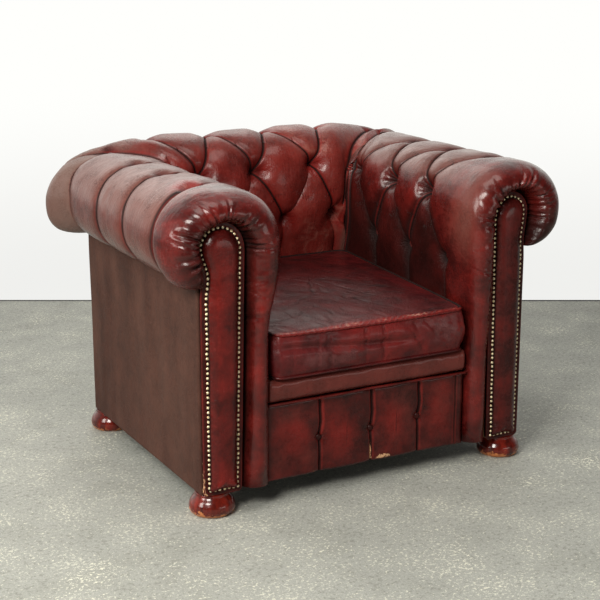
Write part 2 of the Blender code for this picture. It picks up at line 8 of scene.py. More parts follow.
import bmesh
import bpy
import numpy as np
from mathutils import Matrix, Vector


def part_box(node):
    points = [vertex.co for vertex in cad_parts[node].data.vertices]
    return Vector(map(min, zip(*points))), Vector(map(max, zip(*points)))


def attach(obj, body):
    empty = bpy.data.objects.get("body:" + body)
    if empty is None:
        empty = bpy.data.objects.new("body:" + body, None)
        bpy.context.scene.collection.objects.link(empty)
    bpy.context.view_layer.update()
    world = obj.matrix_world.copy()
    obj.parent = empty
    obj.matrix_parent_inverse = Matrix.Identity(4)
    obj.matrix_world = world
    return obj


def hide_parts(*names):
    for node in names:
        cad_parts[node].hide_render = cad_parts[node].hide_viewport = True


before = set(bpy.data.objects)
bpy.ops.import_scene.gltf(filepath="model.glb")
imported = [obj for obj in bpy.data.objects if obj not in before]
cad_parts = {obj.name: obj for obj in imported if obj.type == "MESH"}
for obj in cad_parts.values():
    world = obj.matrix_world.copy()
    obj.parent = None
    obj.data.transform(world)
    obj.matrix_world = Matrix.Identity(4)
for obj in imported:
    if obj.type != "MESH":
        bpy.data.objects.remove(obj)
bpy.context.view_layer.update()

# ---- driving sizes, the same as the CAD's ----
FACE_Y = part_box("facing_left")[0][1]       # plane of the front facings
BULGE = FACE_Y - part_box("arm_cover_left")[0][1]
SIDE_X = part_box("outside_arm_right")[1][0]
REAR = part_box("outside_back")[1][1] - FACE_Y
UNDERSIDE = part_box("outside_back")[0][2]
LEATHER_LOW = UNDERSIDE + 0.001            # the leather's lower edge
SEAT_LEVEL = 0.245       # the pads' lower edge on the seat
ROLL_SPRING = 0.600      # height where the inner face turns into the roll
ROLL_MID = 0.622         # height of the roll's outermost line
ROLL_LOW = 0.530         # height where the roll meets the panels
ROW_B, ROW_A, CROWN = 0.80, 1.196, 2.0     # section stations of the button rows
FLOOR_ROW = 0.352        # section station at the seat
COLUMN_BACK = 0.030      # the round front of the arms ends here
CAP_TURN = math.radians(172)
CAP_POWER = 2.05         # squareness of the round front
VALLEY_AT = 0.94         # beyond this share of the round front lies the valley beside the facing
OVERLAP = 0.016          # the arm's and back's leather run on past their crease
CROWN_SHIFT = -0.015     # the back's upper pleats lean this way
PAD_START, PAD_END = 0.029, 0.668          # the arms' stuffing begins and ends here
ARM_FIRST, ARM_LAST, PITCH = 0.121, 0.526, 0.081
BACK_LAST, BACK_PITCH = 0.245, 0.0817
# Sections: how far the leather lies inside the outer panels at the upper inner face, at the seat and
# at the crown, the roll's top, how far it stands out past the panels, how much the inner face is
# raised between seat and shoulder, and how far the first outer pleat leans forward at the crown.
ARM_SHAPES = {
    "left": dict(face_in=0.198, seat_in=0.168, crown_in=0.046, top=0.731, overhang=0.078, lift=0.0,
                 forward=0.024),
    "right": dict(face_in=0.175, seat_in=0.162, crown_in=0.026, top=0.732, overhang=0.096, lift=0.0,
                  forward=0.0),
}
BACK_SHAPE = dict(face_in=0.128, seat_in=0.083, crown_in=-0.008, top=0.754, overhang=0.092, lift=0.024)
# Facings, as on the right arm: the inner edge at the foot and at the roll, the head's middle, top and
# widest height, the neck, and the outer edge; how far off the arm's leather lies in the valley inside,
# above and outside; where along the edge it laps over instead and by how much; and how far the roll
# hangs down at its outer front.
FACINGS = {
    "left": dict(inner=(0.334, 0.3217), mid=0.3788, top=0.663, wide=0.611, neck=(0.4195, 0.545),
                 outer=0.4240, valley=(0.012, 0.006, 0.003), lapped=(0.0, 0.0, 0.45, 1.0, 1.0, 0.3),
                 lap=-0.0058, hang=0.012),
    "right": dict(inner=(0.331, 0.321), mid=0.3730, top=0.664, wide=0.614, neck=(0.4185, 0.545),
                  outer=0.4205, valley=(0.004, 0.007, 0.012), lapped=(0.0, 0.9, 0.9, 0.1, 0.0, 0.0),
                  lap=-0.0036, hang=0.003),
}
OUTER_TOP = 0.495        # above this height the facings' outer edge draws in to the neck
CORNER_OVERHANG = 0.114  # the roll stands out further round the back's corners
CORNER_HANG = 0.027      # and hangs lower there
FIRST_PLEAT = 0.183      # place of the first outer pleat, as a share of the straight run
FAR = 0.3                # stands for no button or pleat near
# Parts of the tone attribute: painted shade, rub, and fade, which on tops and outer sides also paints sheen.
SHADE, RUB, FADE_AND_SHEEN = 0, 1, 2                 # the parts of the tone attribute


# ---- small helpers ----
def smooth(v):
    """Smooth step of v from 0 to 1."""
    v = np.clip(v, 0.0, 1.0)
    return v * v * (3.0 - 2.0 * v)


def eased(v, knots, values):
    """Values joined at the knots by smooth steps, level at each knot."""
    total = np.full(np.shape(v), float(values[0]))
    for low, high, before, after in zip(knots, knots[1:], values, values[1:]):
        total += (after - before) * smooth((v - low) / (high - low))
    return total


def bell(v, middle, width):
    """Bell curve over v, 1 at its middle and 1/e at the width from it."""
    return np.exp(-((v - middle) / width) ** 2)


def patch(a, a0, reach_a, b, b0, reach_b):
    """A round patch: a bell curve over two measures at once."""
    return np.exp(-(((a - a0) / reach_a) ** 2 + ((b - b0) / reach_b) ** 2))


def quarter(v, power=2.0):
    """Across and up parts of a rounded quarter turn, v from 0 to 1."""
    angle = np.clip(v, 0.0, 1.0) * math.pi / 2
    return np.cos(angle) ** (2.0 / power), np.sin(angle) ** (2.0 / power)


def gathered(count, power=2.0):
    """Shares from 0 to 1 that crowd towards both ends, by a power law mirrored at the middle."""
    t = np.linspace(-1.0, 1.0, count)
    return 0.5 + 0.5 * np.sign(t) * (1.0 - (1.0 - np.abs(t)) ** power)


def lattice(cells, seed):
    """Repeatable random values from 0 to 1 for whole-number cells of any array shape."""
    mask = np.int64(0xFFFFFFFF)
    mixed = (cells[..., 0] * 374761393 + cells[..., 1] * 668265263
             + cells[..., 2] * 362437 + seed * 1274126177) & mask
    mixed = ((mixed ^ (mixed >> 13)) * 1274126177) & mask
    mixed = mixed ^ (mixed >> 16)
    return mixed / float(0xFFFFFFFF)


def cloud(points, size, seed, octaves=1):
    """Soft noise from -1 to 1: lattice values eased between neighbours, octaves halving in size."""
    total, weight = 0.0, 0.0
    for octave in range(octaves):
        place = np.asarray(points) / (size * 0.5 ** octave)
        base = np.floor(place).astype(np.int64)
        part = smooth(place - base)
        value = 0.0
        for corner in range(8):
            step = np.array([corner & 1, (corner >> 1) & 1, corner >> 2])
            share = np.prod(np.where(step == 1, part, 1.0 - part), axis=-1)
            value = value + share * lattice(base + step, seed + octave)
        total += (2.0 * value - 1.0) * 0.5 ** octave
        weight += 0.5 ** octave
    return total / weight


def to_segments(s, t, lines):
    """Distance of each point to each line, a line being a chain of points in the leather's plane.
    The distance is negative to the right of the line's way.
    """
    gaps = []
    for line in lines:
        best = np.full(np.shape(s), 9.0)
        for (s0, t0), (s1, t1) in zip(line, line[1:]):
            ds, dt = s1 - s0, t1 - t0
            share = np.clip(((s - s0) * ds + (t - t0) * dt) / (ds ** 2 + dt ** 2), 0, 1)
            away = np.hypot(s - s0 - share * ds, t - t0 - share * dt)
            side = np.where(ds * (t - t0) - dt * (s - s0) < 0, -1.0, 1.0)
            best = np.where(away < np.abs(best), side * away, best)
        gaps.append(best)
    return gaps


# ---- meshes ----
def grid_quads(rows, columns, wrap=False, first=0):
    """Corner numbers of a grid's quads, rows by columns, closing the columns' loop if wrap is set."""
    i = np.arange(rows - 1)[:, None]
    j = np.arange(columns if wrap else columns - 1)[None, :]
    nxt = (j + 1) % columns
    corners = [i * columns + j, i * columns + nxt, (i + 1) * columns + nxt, (i + 1) * columns + j]
    return np.stack(corners, -1).reshape(-1, 4) + first


def make_piece(name, verts, faces, finish, shading=None):
    """Mesh object behind the facings' plane: doubles merged, faces outward, smooth, riding on root.

    shading holds per-point values by attribute name; three-part values become vectors.
    """
    verts = np.asarray(verts, float).reshape(-1, 3)
    data = bpy.data.meshes.new(name)
    data.from_pydata((verts + (0.0, FACE_Y, 0.0)).tolist(), [], [list(map(int, f)) for f in faces])
    for key, values in (shading or {}).items():
        values = np.asarray(values, float).reshape(len(verts), -1)
        kind = "FLOAT_VECTOR" if values.shape[1] == 3 else "FLOAT"
        layer = data.attributes.new(key, kind, "POINT")
        layer.data.foreach_set("vector" if kind == "FLOAT_VECTOR" else "value",
                               values.astype(np.float32).ravel())
    mesh = bmesh.new()
    mesh.from_mesh(data)
    bmesh.ops.remove_doubles(mesh, verts=mesh.verts, dist=2e-6)
    bmesh.ops.dissolve_degenerate(mesh, edges=mesh.edges, dist=1e-6)
    bmesh.ops.recalc_face_normals(mesh, faces=mesh.faces)
    mesh.to_mesh(data)
    mesh.free()
    data.shade_smooth()
    data.materials.append(finish)
    piece = bpy.data.objects.new(name, data)
    bpy.context.scene.collection.objects.link(piece)
    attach(piece, "root")
    return piece


def closed_shell(outer, inner):
    """Points and faces of the solid between two grids of equal size, closed along the rim."""
    rows, columns, _ = outer.shape
    count = rows * columns
    front = grid_quads(rows, columns)
    back = grid_quads(rows, columns, first=count)[:, ::-1]
    number = np.arange(count).reshape(rows, columns)
    rim = np.concatenate([number[0], number[1:, -1], number[-1, -2::-1], number[-2:0:-1, 0]])
    nxt = np.roll(rim, -1)
    side = np.stack([rim, rim + count, nxt + count, nxt], 1)
    verts = np.concatenate([outer.reshape(-1, 3), inner.reshape(-1, 3)])
    return verts, np.concatenate([front, back, side])


def tube(path, radius, closed=False, sides=8):
    """Points and faces of a round tube along a path: circles across the path's direction."""
    path = np.asarray(path, float)
    if closed:
        tangent = np.roll(path, -1, 0) - np.roll(path, 1, 0)
    else:
        tangent = np.gradient(path, axis=0)
    tangent /= np.linalg.norm(tangent, axis=1, keepdims=True)
    helper = np.where(np.abs(tangent[:, 1:2]) < 0.9, np.array([[0.0, 1.0, 0.0]]),
                      np.array([[0.0, 0.0, 1.0]]))
    across = np.cross(tangent, helper)
    across /= np.linalg.norm(across, axis=1, keepdims=True)
    up = np.cross(across, tangent)
    angle = np.linspace(0, 2 * math.pi, sides, endpoint=False)[None, :, None]
    rings = path[:, None] + radius * (np.cos(angle) * across[:, None] + np.sin(angle) * up[:, None])
    if closed:
        rings = np.concatenate([rings, rings[:1]])
        return rings.reshape(-1, 3), grid_quads(len(rings), sides, wrap=True)
    return capped(rings, path[:1], path[-1:])


def capped(rings, start, stop):
    """Points and faces of a row of closed rings, with fans to a start and a stop point."""
    rows, columns, _ = rings.shape
    verts = np.concatenate([rings.reshape(-1, 3), start, stop])
    faces = list(grid_quads(rows, columns, wrap=True))
    last = (rows - 1) * columns
    for k in range(columns):
        nxt = (k + 1) % columns
        faces.append((rows * columns, nxt, k))
        faces.append((rows * columns + 1, last + k, last + nxt))
    return verts, faces


def joined(parts):
    """Points and faces of several meshes as one."""
    verts, faces, count = [], [], 0
    for part_verts, part_faces in parts:
        verts.append(np.asarray(part_verts).reshape(-1, 3))
        faces.extend(tuple(int(i) + count for i in face) for face in part_faces)
        count += len(verts[-1])
    return np.concatenate(verts), faces


# ---- materials ----
class Link:
    """An output socket in a material. + - * / and the reflected + - * add Math nodes."""

    def __init__(self, maker, socket):
        self.maker = maker
        self.socket = socket

    def _math(self, operation, first, second):
        """A Math node over two values."""
        return self.maker.node("ShaderNodeMath", {"operation": operation}, {0: first, 1: second})

    def __add__(self, other):
        return self._math("ADD", self, other)

    __radd__ = __add__

    def __mul__(self, other):
        return self._math("MULTIPLY", self, other)

    __rmul__ = __mul__

    def __sub__(self, other):
        return self._math("SUBTRACT", self, other)

    def __rsub__(self, other):
        return self._math("SUBTRACT", other, self)

    def __truediv__(self, other):
        return self._math("DIVIDE", self, other)

class NodeMaker:
    """Adds nodes to one node tree."""

    def __init__(self, tree):
        self.tree = tree

    def node(self, kind, settings, values, out=0):
        """Any node: its settings first, then the values or links of its sockets."""
        made = self.tree.nodes.new(kind)
        for key, value in settings.items():
            setattr(made, key, value)
        for key, value in values.items():
            if isinstance(value, Link):
                self.tree.links.new(value.socket, made.inputs[key])
            else:
                made.inputs[key].default_value = value
        return Link(self, made.outputs[out]) if made.outputs else None

    def fade(self, value, low, high, start=0.0, end=1.0):
        """Smooth change from start to end as value goes from low to high."""
        return self.node("ShaderNodeMapRange", {"interpolation_type": "SMOOTHSTEP", "clamp": True},
                         {0: value, 1: low, 2: high, 3: start, 4: end})

    def parts(self, vector):
        """The three parts of a vector."""
        first = self.node("ShaderNodeSeparateXYZ", {}, {0: vector})
        sockets = first.socket.node.outputs
        return first, Link(self, sockets[1]), Link(self, sockets[2])


class Finish(NodeMaker):
    """A material under construction, with its Principled shader."""

    def __init__(self, name, **sockets):
        self.material = bpy.data.materials.new(name)
        self.material.use_nodes = True
        super().__init__(self.material.node_tree)
        self.shader = self.tree.nodes["Principled BSDF"]
        self.put(**sockets)
        self.place = self.node("ShaderNodeTexCoord", {}, {}, out="Object")

    def put(self, **sockets):
        """Sets or links sockets of the shader, their names written with underscores."""
        for key, value in sockets.items():
            socket = self.shader.inputs[key.replace("_", " ").title().replace("Ior", "IOR")]
            if isinstance(value, Link):
                self.tree.links.new(value.socket, socket)
            else:
                socket.default_value = (*value, 1.0) if isinstance(value, tuple) else value

    def noise(self, scale, detail=2.0, rough=0.5, at=None, warp=0.0, out=0):
        """Noise from 0 to 1 on the piece's own coordinates, scale in ripples per metre."""
        return self.node("ShaderNodeTexNoise", {}, {"Vector": at or self.place, "Scale": scale,
                         "Detail": detail, "Roughness": rough, "Distortion": warp}, out=out)

    def bent(self, scale, reach, at=None):
        """Coordinates pushed about by a coloured noise, up to reach metres."""
        push = self.noise(scale, 2.0, 0.5, at=at, out=1)
        return self.node("ShaderNodeVectorMath", {"operation": "MULTIPLY_ADD"},
                         {0: push, 1: (reach, reach, reach), 2: at or self.place})

    def threads(self, scale, width, at):
        """Long thin lines, 1 on the line, where a noise passes its middle."""
        value = self.noise(scale, 2.0, 0.5, at=at) - 0.5
        off = self.node("ShaderNodeMath", {"operation": "ABSOLUTE"}, {0: value})
        return self.fade(off, 0.0, width, 1.0, 0.0)

    def cells(self, scale, at):
        """Distance to the edges of random cells."""
        return self.node("ShaderNodeTexVoronoi", {"feature": "DISTANCE_TO_EDGE"},
                         {"Vector": at, "Scale": scale})

    def mix(self, share, first, second):
        """Colour between two colours by share."""
        values = {0: share}
        for key, colour in ((6, first), (7, second)):
            values[key] = colour if isinstance(colour, Link) else (*colour, 1.0)
        return self.node("ShaderNodeMix", {"data_type": "RGBA"}, values, out=2)

    def stretched(self, scale):
        """The piece's coordinates stretched by scale, for grain that runs one way."""
        return self.node("ShaderNodeMapping", {}, {"Vector": self.place, "Scale": scale})

    def attribute(self, name, out):
        """A value stored on the points of the mesh."""
        return self.node("ShaderNodeAttribute", {"attribute_name": name}, {}, out=out)

    def bump(self, height, depth, under=None):
        """Bump from a height that is worth depth metres at 1."""
        values = {"Height": height, "Distance": depth, "Strength": 1.0}
        if under:
            values["Normal"] = under
        return self.node("ShaderNodeBump", {}, values)


OXBLOOD_DARK = (0.030, 0.0034, 0.0030)
OXBLOOD = (0.125, 0.0095, 0.0075)
OXBLOOD_BRIGHT = (0.208, 0.0125, 0.0095)
# Faded leather; on tops and outer sides the same colour is a painted sheen.
FADED_AND_SHEEN = (0.125, 0.045, 0.035)
# Painted sheen: the grey that the palest tops and the back's left corner take, standing for the sky's
# reflection.
PAINTED_SHEEN_GREY = (0.136, 0.088, 0.072)
HIDE = (0.62, 0.36, 0.20)
# Painted shade: the near-black that wells, pleats, folds and hollows are darkened towards.
PAINTED_SHADE = (0.011, 0.0034, 0.0028)


def leather(name, rough=0.24, coat=0.40, craze=0.5, base=OXBLOOD, dark=OXBLOOD_DARK, faded_and_sheen=FADED_AND_SHEEN,
            gleam=0.18, grain=(1.0, 1.0, 1.0)):
    """Aniline-dyed leather. The mesh's tone attribute holds painted shade, rub, and fade with painted
    sheen; tuft holds the way to the nearest button and the distance to the nearest pleat; bare is worn
    through to the hide. Crackle is cell edges on bent coordinates; scratches are thin threads where the
    rub is strong; fade past 1.3 paints a grey sheen. Each crease gets a painted dark line and a painted
    highlight on the lip beside it.
    """
    made = Finish(name, coat_roughness=0.17, specular_ior_level=gleam)
    shade, rub, fade = made.parts(made.attribute("tone", "Vector"))
    bare = made.attribute("bare", "Fac")
    away_s, away_t, crease = made.parts(made.attribute("tuft", "Vector"))
    patchy = made.noise(14.0, 4.0, 0.62)
    fine = made.noise(90.0, 5.0, 0.65)
    mottled = made.noise(5.0, 3.0, 0.55, warp=0.6)
    bent = made.bent(60.0, 0.012)
    cracks = made.fade(made.cells(150.0, at=bent), 0.0, 0.16, 1.0, 0.0)
    cracks *= made.fade(made.noise(22.0, 4.0, 0.6), 0.42, 0.62)
    long_way = made.bent(9.0, 0.10, made.stretched((1.0, 1.0, 0.5)))
    cross_way = made.bent(12.0, 0.10, made.stretched((0.5, 1.2, 1.3)))
    scratch = made.threads(15.0, 0.055, long_way) + made.threads(19.0, 0.055, cross_way)
    scratch *= made.fade(patchy, 0.42, 0.58)

    body = made.mix(made.fade(patchy + 0.35 * fine, 0.42, 0.98), dark, base)
    # Painted shade: low shade darkens the leather towards near-black.
    body = made.mix(made.fade(shade + 0.4 * (mottled - 0.5), 0.05, 0.90), PAINTED_SHADE, body)
    body = made.mix(made.fade(rub + 0.5 * (patchy - 0.5), 0.25, 1.0) * 0.9, body, OXBLOOD_BRIGHT)
    # Fading, partly a painted sheen on tops and outer sides.
    body = made.mix(made.fade(fade + 0.35 * (fine - 0.5) + 0.3 * (patchy - 0.5), 0.1, 1.1), body, faded_and_sheen)
    # Painted sheen: past a fade of 1.3 the leather greys.
    sheen_grey = made.fade(fade, 1.30, 1.70)
    body = made.mix(sheen_grey * (0.35 + 0.5 * patchy), body, PAINTED_SHEEN_GREY)
    body = made.mix(cracks * craze * (0.2 + 0.8 * fade) * (1.0 - 0.8 * sheen_grey), body, dark)
    body = made.mix(scratch * made.fade(rub, 0.70, 1.10) * 0.75, body, (0.50, 0.24, 0.18))
    # Painted shade: a dark line along each pleat's crease.
    line = made.fade(crease, 0.0012, 0.0042, 1.0, 0.0)
    body = made.mix(line * 0.95, body, PAINTED_SHADE)
    # Painted highlight: a brighter red lip beside each crease.
    lip = made.fade(crease, 0.0036, 0.0050) * made.fade(crease, 0.0055, 0.0090, 1.0, 0.0)
    body = made.mix(lip * 0.35 * (1.0 - fade), body, OXBLOOD_BRIGHT)
    ragged = made.noise(110.0, 6.0, 0.75, warp=0.5)
    worn = made.fade(bare + 1.5 * (ragged - 0.5), 0.50, 0.60)
    body = made.mix(worn, body, HIDE)
    made.put(base_color=body)

    gloss = rough + 0.20 * (patchy - 0.5) + 0.20 * (fine - 0.5) + 0.16 * (1.0 - shade)
    gloss += 0.35 * made.fade(shade, 0.05, 0.45, 1.0, 0.0)
    made.put(roughness=gloss + 0.25 * worn + 0.3 * line + 0.08 * fade + 0.2 * cracks * fade,
             coat_weight=coat * made.fade(shade - line, 0.20, 0.7))

    near = made.node("ShaderNodeMath", {"operation": "SQRT"},
                     {0: away_s * away_s + away_t * away_t + 1e-6})
    spoke = made.node("ShaderNodeCombineXYZ", {}, {0: away_s / near, 1: away_t / near, 2: near * 9.0})
    rays = made.noise(4.2, 2.0, 0.55, at=spoke)
    ring = made.fade(near, 0.040, 0.012) * made.fade(near, 0.003, 0.009)
    pebble = made.bump(cracks + scratch * 0.5, -0.00030)
    wrinkle = made.bump(made.noise(45.0, 6.0, 0.62, warp=0.6), 0.0014, pebble)
    wrinkle = made.bump(made.noise(26.0, 5.0, 0.6, at=made.stretched(grain)), 0.0016, wrinkle)
    folds = made.bump(rays * ring, 0.0021, wrinkle)
    made.put(normal=folds)
    return made.material


def brass(name):
    """Antique brass: bright worn spots over brown tarnish."""
    made = Finish(name, metallic=0.45)
    spots = made.noise(420.0, 3.0, 0.6)
    colour = made.mix(made.fade(spots, 0.35, 0.62), (0.60, 0.42, 0.20), (1.0, 0.90, 0.64))
    made.put(base_color=colour, roughness=0.30 + 0.15 * spots)
    return made.material


def polished_wood(name):
    """Dark polished mahogany, rubbed through to orange wood near the floor."""
    made = Finish(name, coat_weight=0.45, coat_roughness=0.12, specular_ior_level=0.3)
    _, _, height = made.parts(made.place)
    grain = made.noise(60.0, 5.0, 0.6, at=made.stretched((1.0, 1.0, 0.12)))
    knocks = made.noise(38.0, 6.0, 0.7)
    colour = made.mix(made.fade(grain, 0.3, 0.8), (0.040, 0.0030, 0.0015), (0.20, 0.014, 0.006))
    worn = made.fade(knocks - 11.0 * height, 0.34, 0.44)
    colour = made.mix(worn * 0.85, colour, (0.55, 0.19, 0.06))
    made.put(base_color=colour, roughness=0.20 + 0.3 * worn, normal=made.bump(knocks, 0.0004))
    return made.material


def raw_wood(name):
    """Planed beech with long fine grain."""
    made = Finish(name, roughness=0.62)
    grain = made.noise(30.0, 5.0, 0.6, at=made.stretched((1.0, 0.12, 1.0)))
    made.put(base_color=made.mix(grain, (0.30, 0.17, 0.085), (0.55, 0.37, 0.21)),
             normal=made.bump(grain, 0.0003))
    return made.material


def woven_cloth(name, thread, gap):
    """Plain black or natural platform cloth: two crossed sets of threads."""
    made = Finish(name, roughness=0.9)
    across, along, height = made.parts(made.place)
    warp_line = made.node("ShaderNodeMath", {"operation": "SINE"}, {0: across * 2600.0})
    weft_line = made.node("ShaderNodeMath", {"operation": "SINE"}, {0: (along + height) * 2600.0})
    weave = made.fade(warp_line * weft_line, -1.0, 1.0)
    dust = made.noise(25.0, 4.0, 0.6)
    made.put(base_color=made.mix(weave * (0.5 + dust), gap, thread), normal=made.bump(weave, 0.0003))
    return made.material


def spring_wire(name):
    """Oiled spring steel with a little rust."""
    made = Finish(name, metallic=1.0)
    rust = made.fade(made.noise(120.0, 4.0, 0.65), 0.5, 0.7)
    made.put(base_color=made.mix(rust, (0.32, 0.32, 0.33), (0.22, 0.09, 0.04)), roughness=0.3 + 0.4 * rust)
    return made.material


HIDES = {
    "tufted": leather("oxblood tufted leather", grain=(0.5, 4.0, 0.5)),
    "back": leather("oxblood back leather", coat=0.24, grain=(4.0, 0.5, 0.6)),
    "facing": leather("oxblood facing leather", coat=0.26, craze=0.2, gleam=0.12, grain=(1.2, 1.0, 0.6)),
    "seat": leather("worn seat leather", rough=0.34, coat=0.12, craze=0.45, base=(0.125, 0.0080, 0.0085),
                    dark=(0.036, 0.0036, 0.0048), faded_and_sheen=(0.105, 0.027, 0.027), gleam=0.20),
    "panel": leather("dull panel leather", rough=0.52, coat=0.03, craze=0.25, base=(0.096, 0.026, 0.018),
                     dark=(0.046, 0.017, 0.013), faded_and_sheen=(0.108, 0.054, 0.038), gleam=0.12),
}
BRASS = brass("antique brass")


# ---- the arms' and back's sections ----
def roll_section(u, shape):
    """Inset from the panel line and height of the leather at the stations u.

    0-1 is the inner face, 1-2 the shoulder, 2-3 the outer top and 3-4 the under side of the roll,
    each a rounded quarter turn.
    """
    u = np.asarray(u, float)
    z = LEATHER_LOW + (ROLL_SPRING - LEATHER_LOW) * np.clip(u, 0, 1)
    z = z + np.interp(u, (FLOOR_ROW, ROW_B, 1.0), (0.0, shape["lift"], 0.0))
    inset = shape["seat_in"] + (shape["face_in"] - shape["seat_in"]) * smooth((z - 0.40) / 0.18)
    across, up = quarter(u - 1, 2.5)
    inset = np.where(u > 1, shape["crown_in"] + (shape["face_in"] - shape["crown_in"]) * across, inset)
    z = np.where(u > 1, ROLL_SPRING + (shape["top"] - ROLL_SPRING) * up, z)
    across, up = quarter(3 - u)
    over = shape["overhang"]
    inset = np.where(u > 2, shape["crown_in"] - (shape["crown_in"] + over) * across, inset)
    z = np.where(u > 2, ROLL_MID + (shape["top"] - ROLL_MID) * up, z)
    across, up = quarter(u - 3, shape.get("under", 2.2))
    inset = np.where(u > 3, -over * across, inset)
    z = np.where(u > 3, ROLL_MID - (ROLL_MID - ROLL_LOW) * up, z)
    return inset, z


def keyhole(u, shape, margin=0.0):
    """Across and height of the facing's keyhole outline at the stations u, on the right arm.

    0-1 is the straight inner edge, 1-2 and 2-3 are quarter turns over the head, and 3-4 draws in to
    the neck by a smooth step. The margin widens it all.
    """
    u = np.asarray(u, float)
    z = LEATHER_LOW + (ROLL_SPRING - LEATHER_LOW) * np.clip(u, 0, 1)
    x = shape["inner"][0] + (shape["inner"][1] - shape["inner"][0]) * np.clip(u, 0, 1) - margin
    across, up = quarter(u - 1)
    half = shape["mid"] - shape["inner"][1] + margin
    x = np.where(u > 1, shape["mid"] - half * across, x)
    z = np.where(u > 1, ROLL_SPRING + (shape["top"] + margin - ROLL_SPRING) * up, z)
    across, up = quarter(3 - u)
    x = np.where(u > 2, shape["mid"] + half * across, x)
    z = np.where(u > 2, shape["wide"] + (shape["top"] + margin - shape["wide"]) * up, z)
    v = np.clip(u - 3, 0, 1)
    bulge = shape["mid"] + half
    x = np.where(u > 3, bulge + (shape["neck"][0] + margin - bulge) * smooth(v), x)
    z = np.where(u > 3, shape["wide"] + (shape["neck"][1] - shape["wide"]) * v, z)
    return x, z


DENSE_U = np.linspace(0.0, 4.0, 4001)


class Measure:
    """Length along a section: t from u and u from t, and the rows' places."""

    def __init__(self, shape):
        inset, z = roll_section(DENSE_U, shape)
        steps = np.hypot(np.diff(inset), np.diff(z))
        self.t = np.concatenate([[0.0], np.cumsum(steps)])
        self.floor, self.row_b, self.row_a, self.crown, self.end = (
            self.of(u) for u in (FLOOR_ROW, ROW_B, ROW_A, CROWN, 4.0))

    def of(self, u):
        """Length at a station."""
        return np.interp(u, DENSE_U, self.t)

    def station(self, t):
        """Station at a length."""
        return np.interp(t, self.t, DENSE_U)


def corner(u, arm, back, rounding=0.0):
    """Corner of the arm's and back's lines at each station: its place, radius, the depth where the
    arm's leather ends, and the heights of the arm's and the back's leather.

    On the inner face the two meet in a sharp crease. Over the top the back leather rounds the corner
    and comes forward to the last pleat. Rounding from 0 to 1 takes the arm's line out to the corner's
    own overhang, where it also hangs lower, by a half sine.
    """
    arm_inset, arm_z = roll_section(u, arm)
    back_inset, back_z = roll_section(u, back)
    wide_inset, wide_z = roll_section(u, dict(arm, overhang=CORNER_OVERHANG, under=2.1))
    arm_inset = arm_inset + (wide_inset - arm_inset) * rounding
    arm_z = arm_z + (wide_z - arm_z) * rounding
    arm_z = arm_z - CORNER_HANG * rounding * np.sin(math.pi * np.clip((u - 2.5) / 1.5, 0, 1)) ** 0.8
    x = SIDE_X - arm_inset
    y = REAR - back_inset
    radius = eased(u, (1.0, 2.0, 3.0, 4.0), (0.0, 0.055, 0.100, 0.012))
    pleat = eased(u, (1.0, 2.0, 2.5, 3.0, 4.0), (0.553, 0.630, 0.636, 0.604, 0.610))
    end = np.where(u <= 1.0, y, np.minimum(pleat, y - radius))
    return x, y, radius, end, arm_z, back_z


def lean(c, u, more):
    """How far the outer pleats lean forward below the crown: more lower down, and most on the first
    pleat, which leans further by the amount more at the crown; it fades out at the round front and at
    the rear pleat.
    """
    amount = eased(u, (2.0, 2.4, 3.0, 3.7), (0.0, 0.014, 0.040, 0.050))
    amount *= np.interp(c, (0.0, FIRST_PLEAT, 0.36, 1.0, 2.0), (0.0, 1.30, 1.0, 0.9, 0.0))
    at_crown = eased(u, (1.7, 2.1, 2.5, 3.1), (0.0, 1.0, 1.0, 0.0))
    return amount + more * at_crown * np.interp(c, (0.0, FIRST_PLEAT, 0.40), (0.0, 1.0, 0.0))


def front_start(u):
    """Depth where the round front begins: further back over the roll than on the column."""
    u = np.asarray(u, float)
    return COLUMN_BACK + 0.020 * smooth((u - 1.5) / 0.6) * (1 - smooth((u - 2.7) / 0.8))


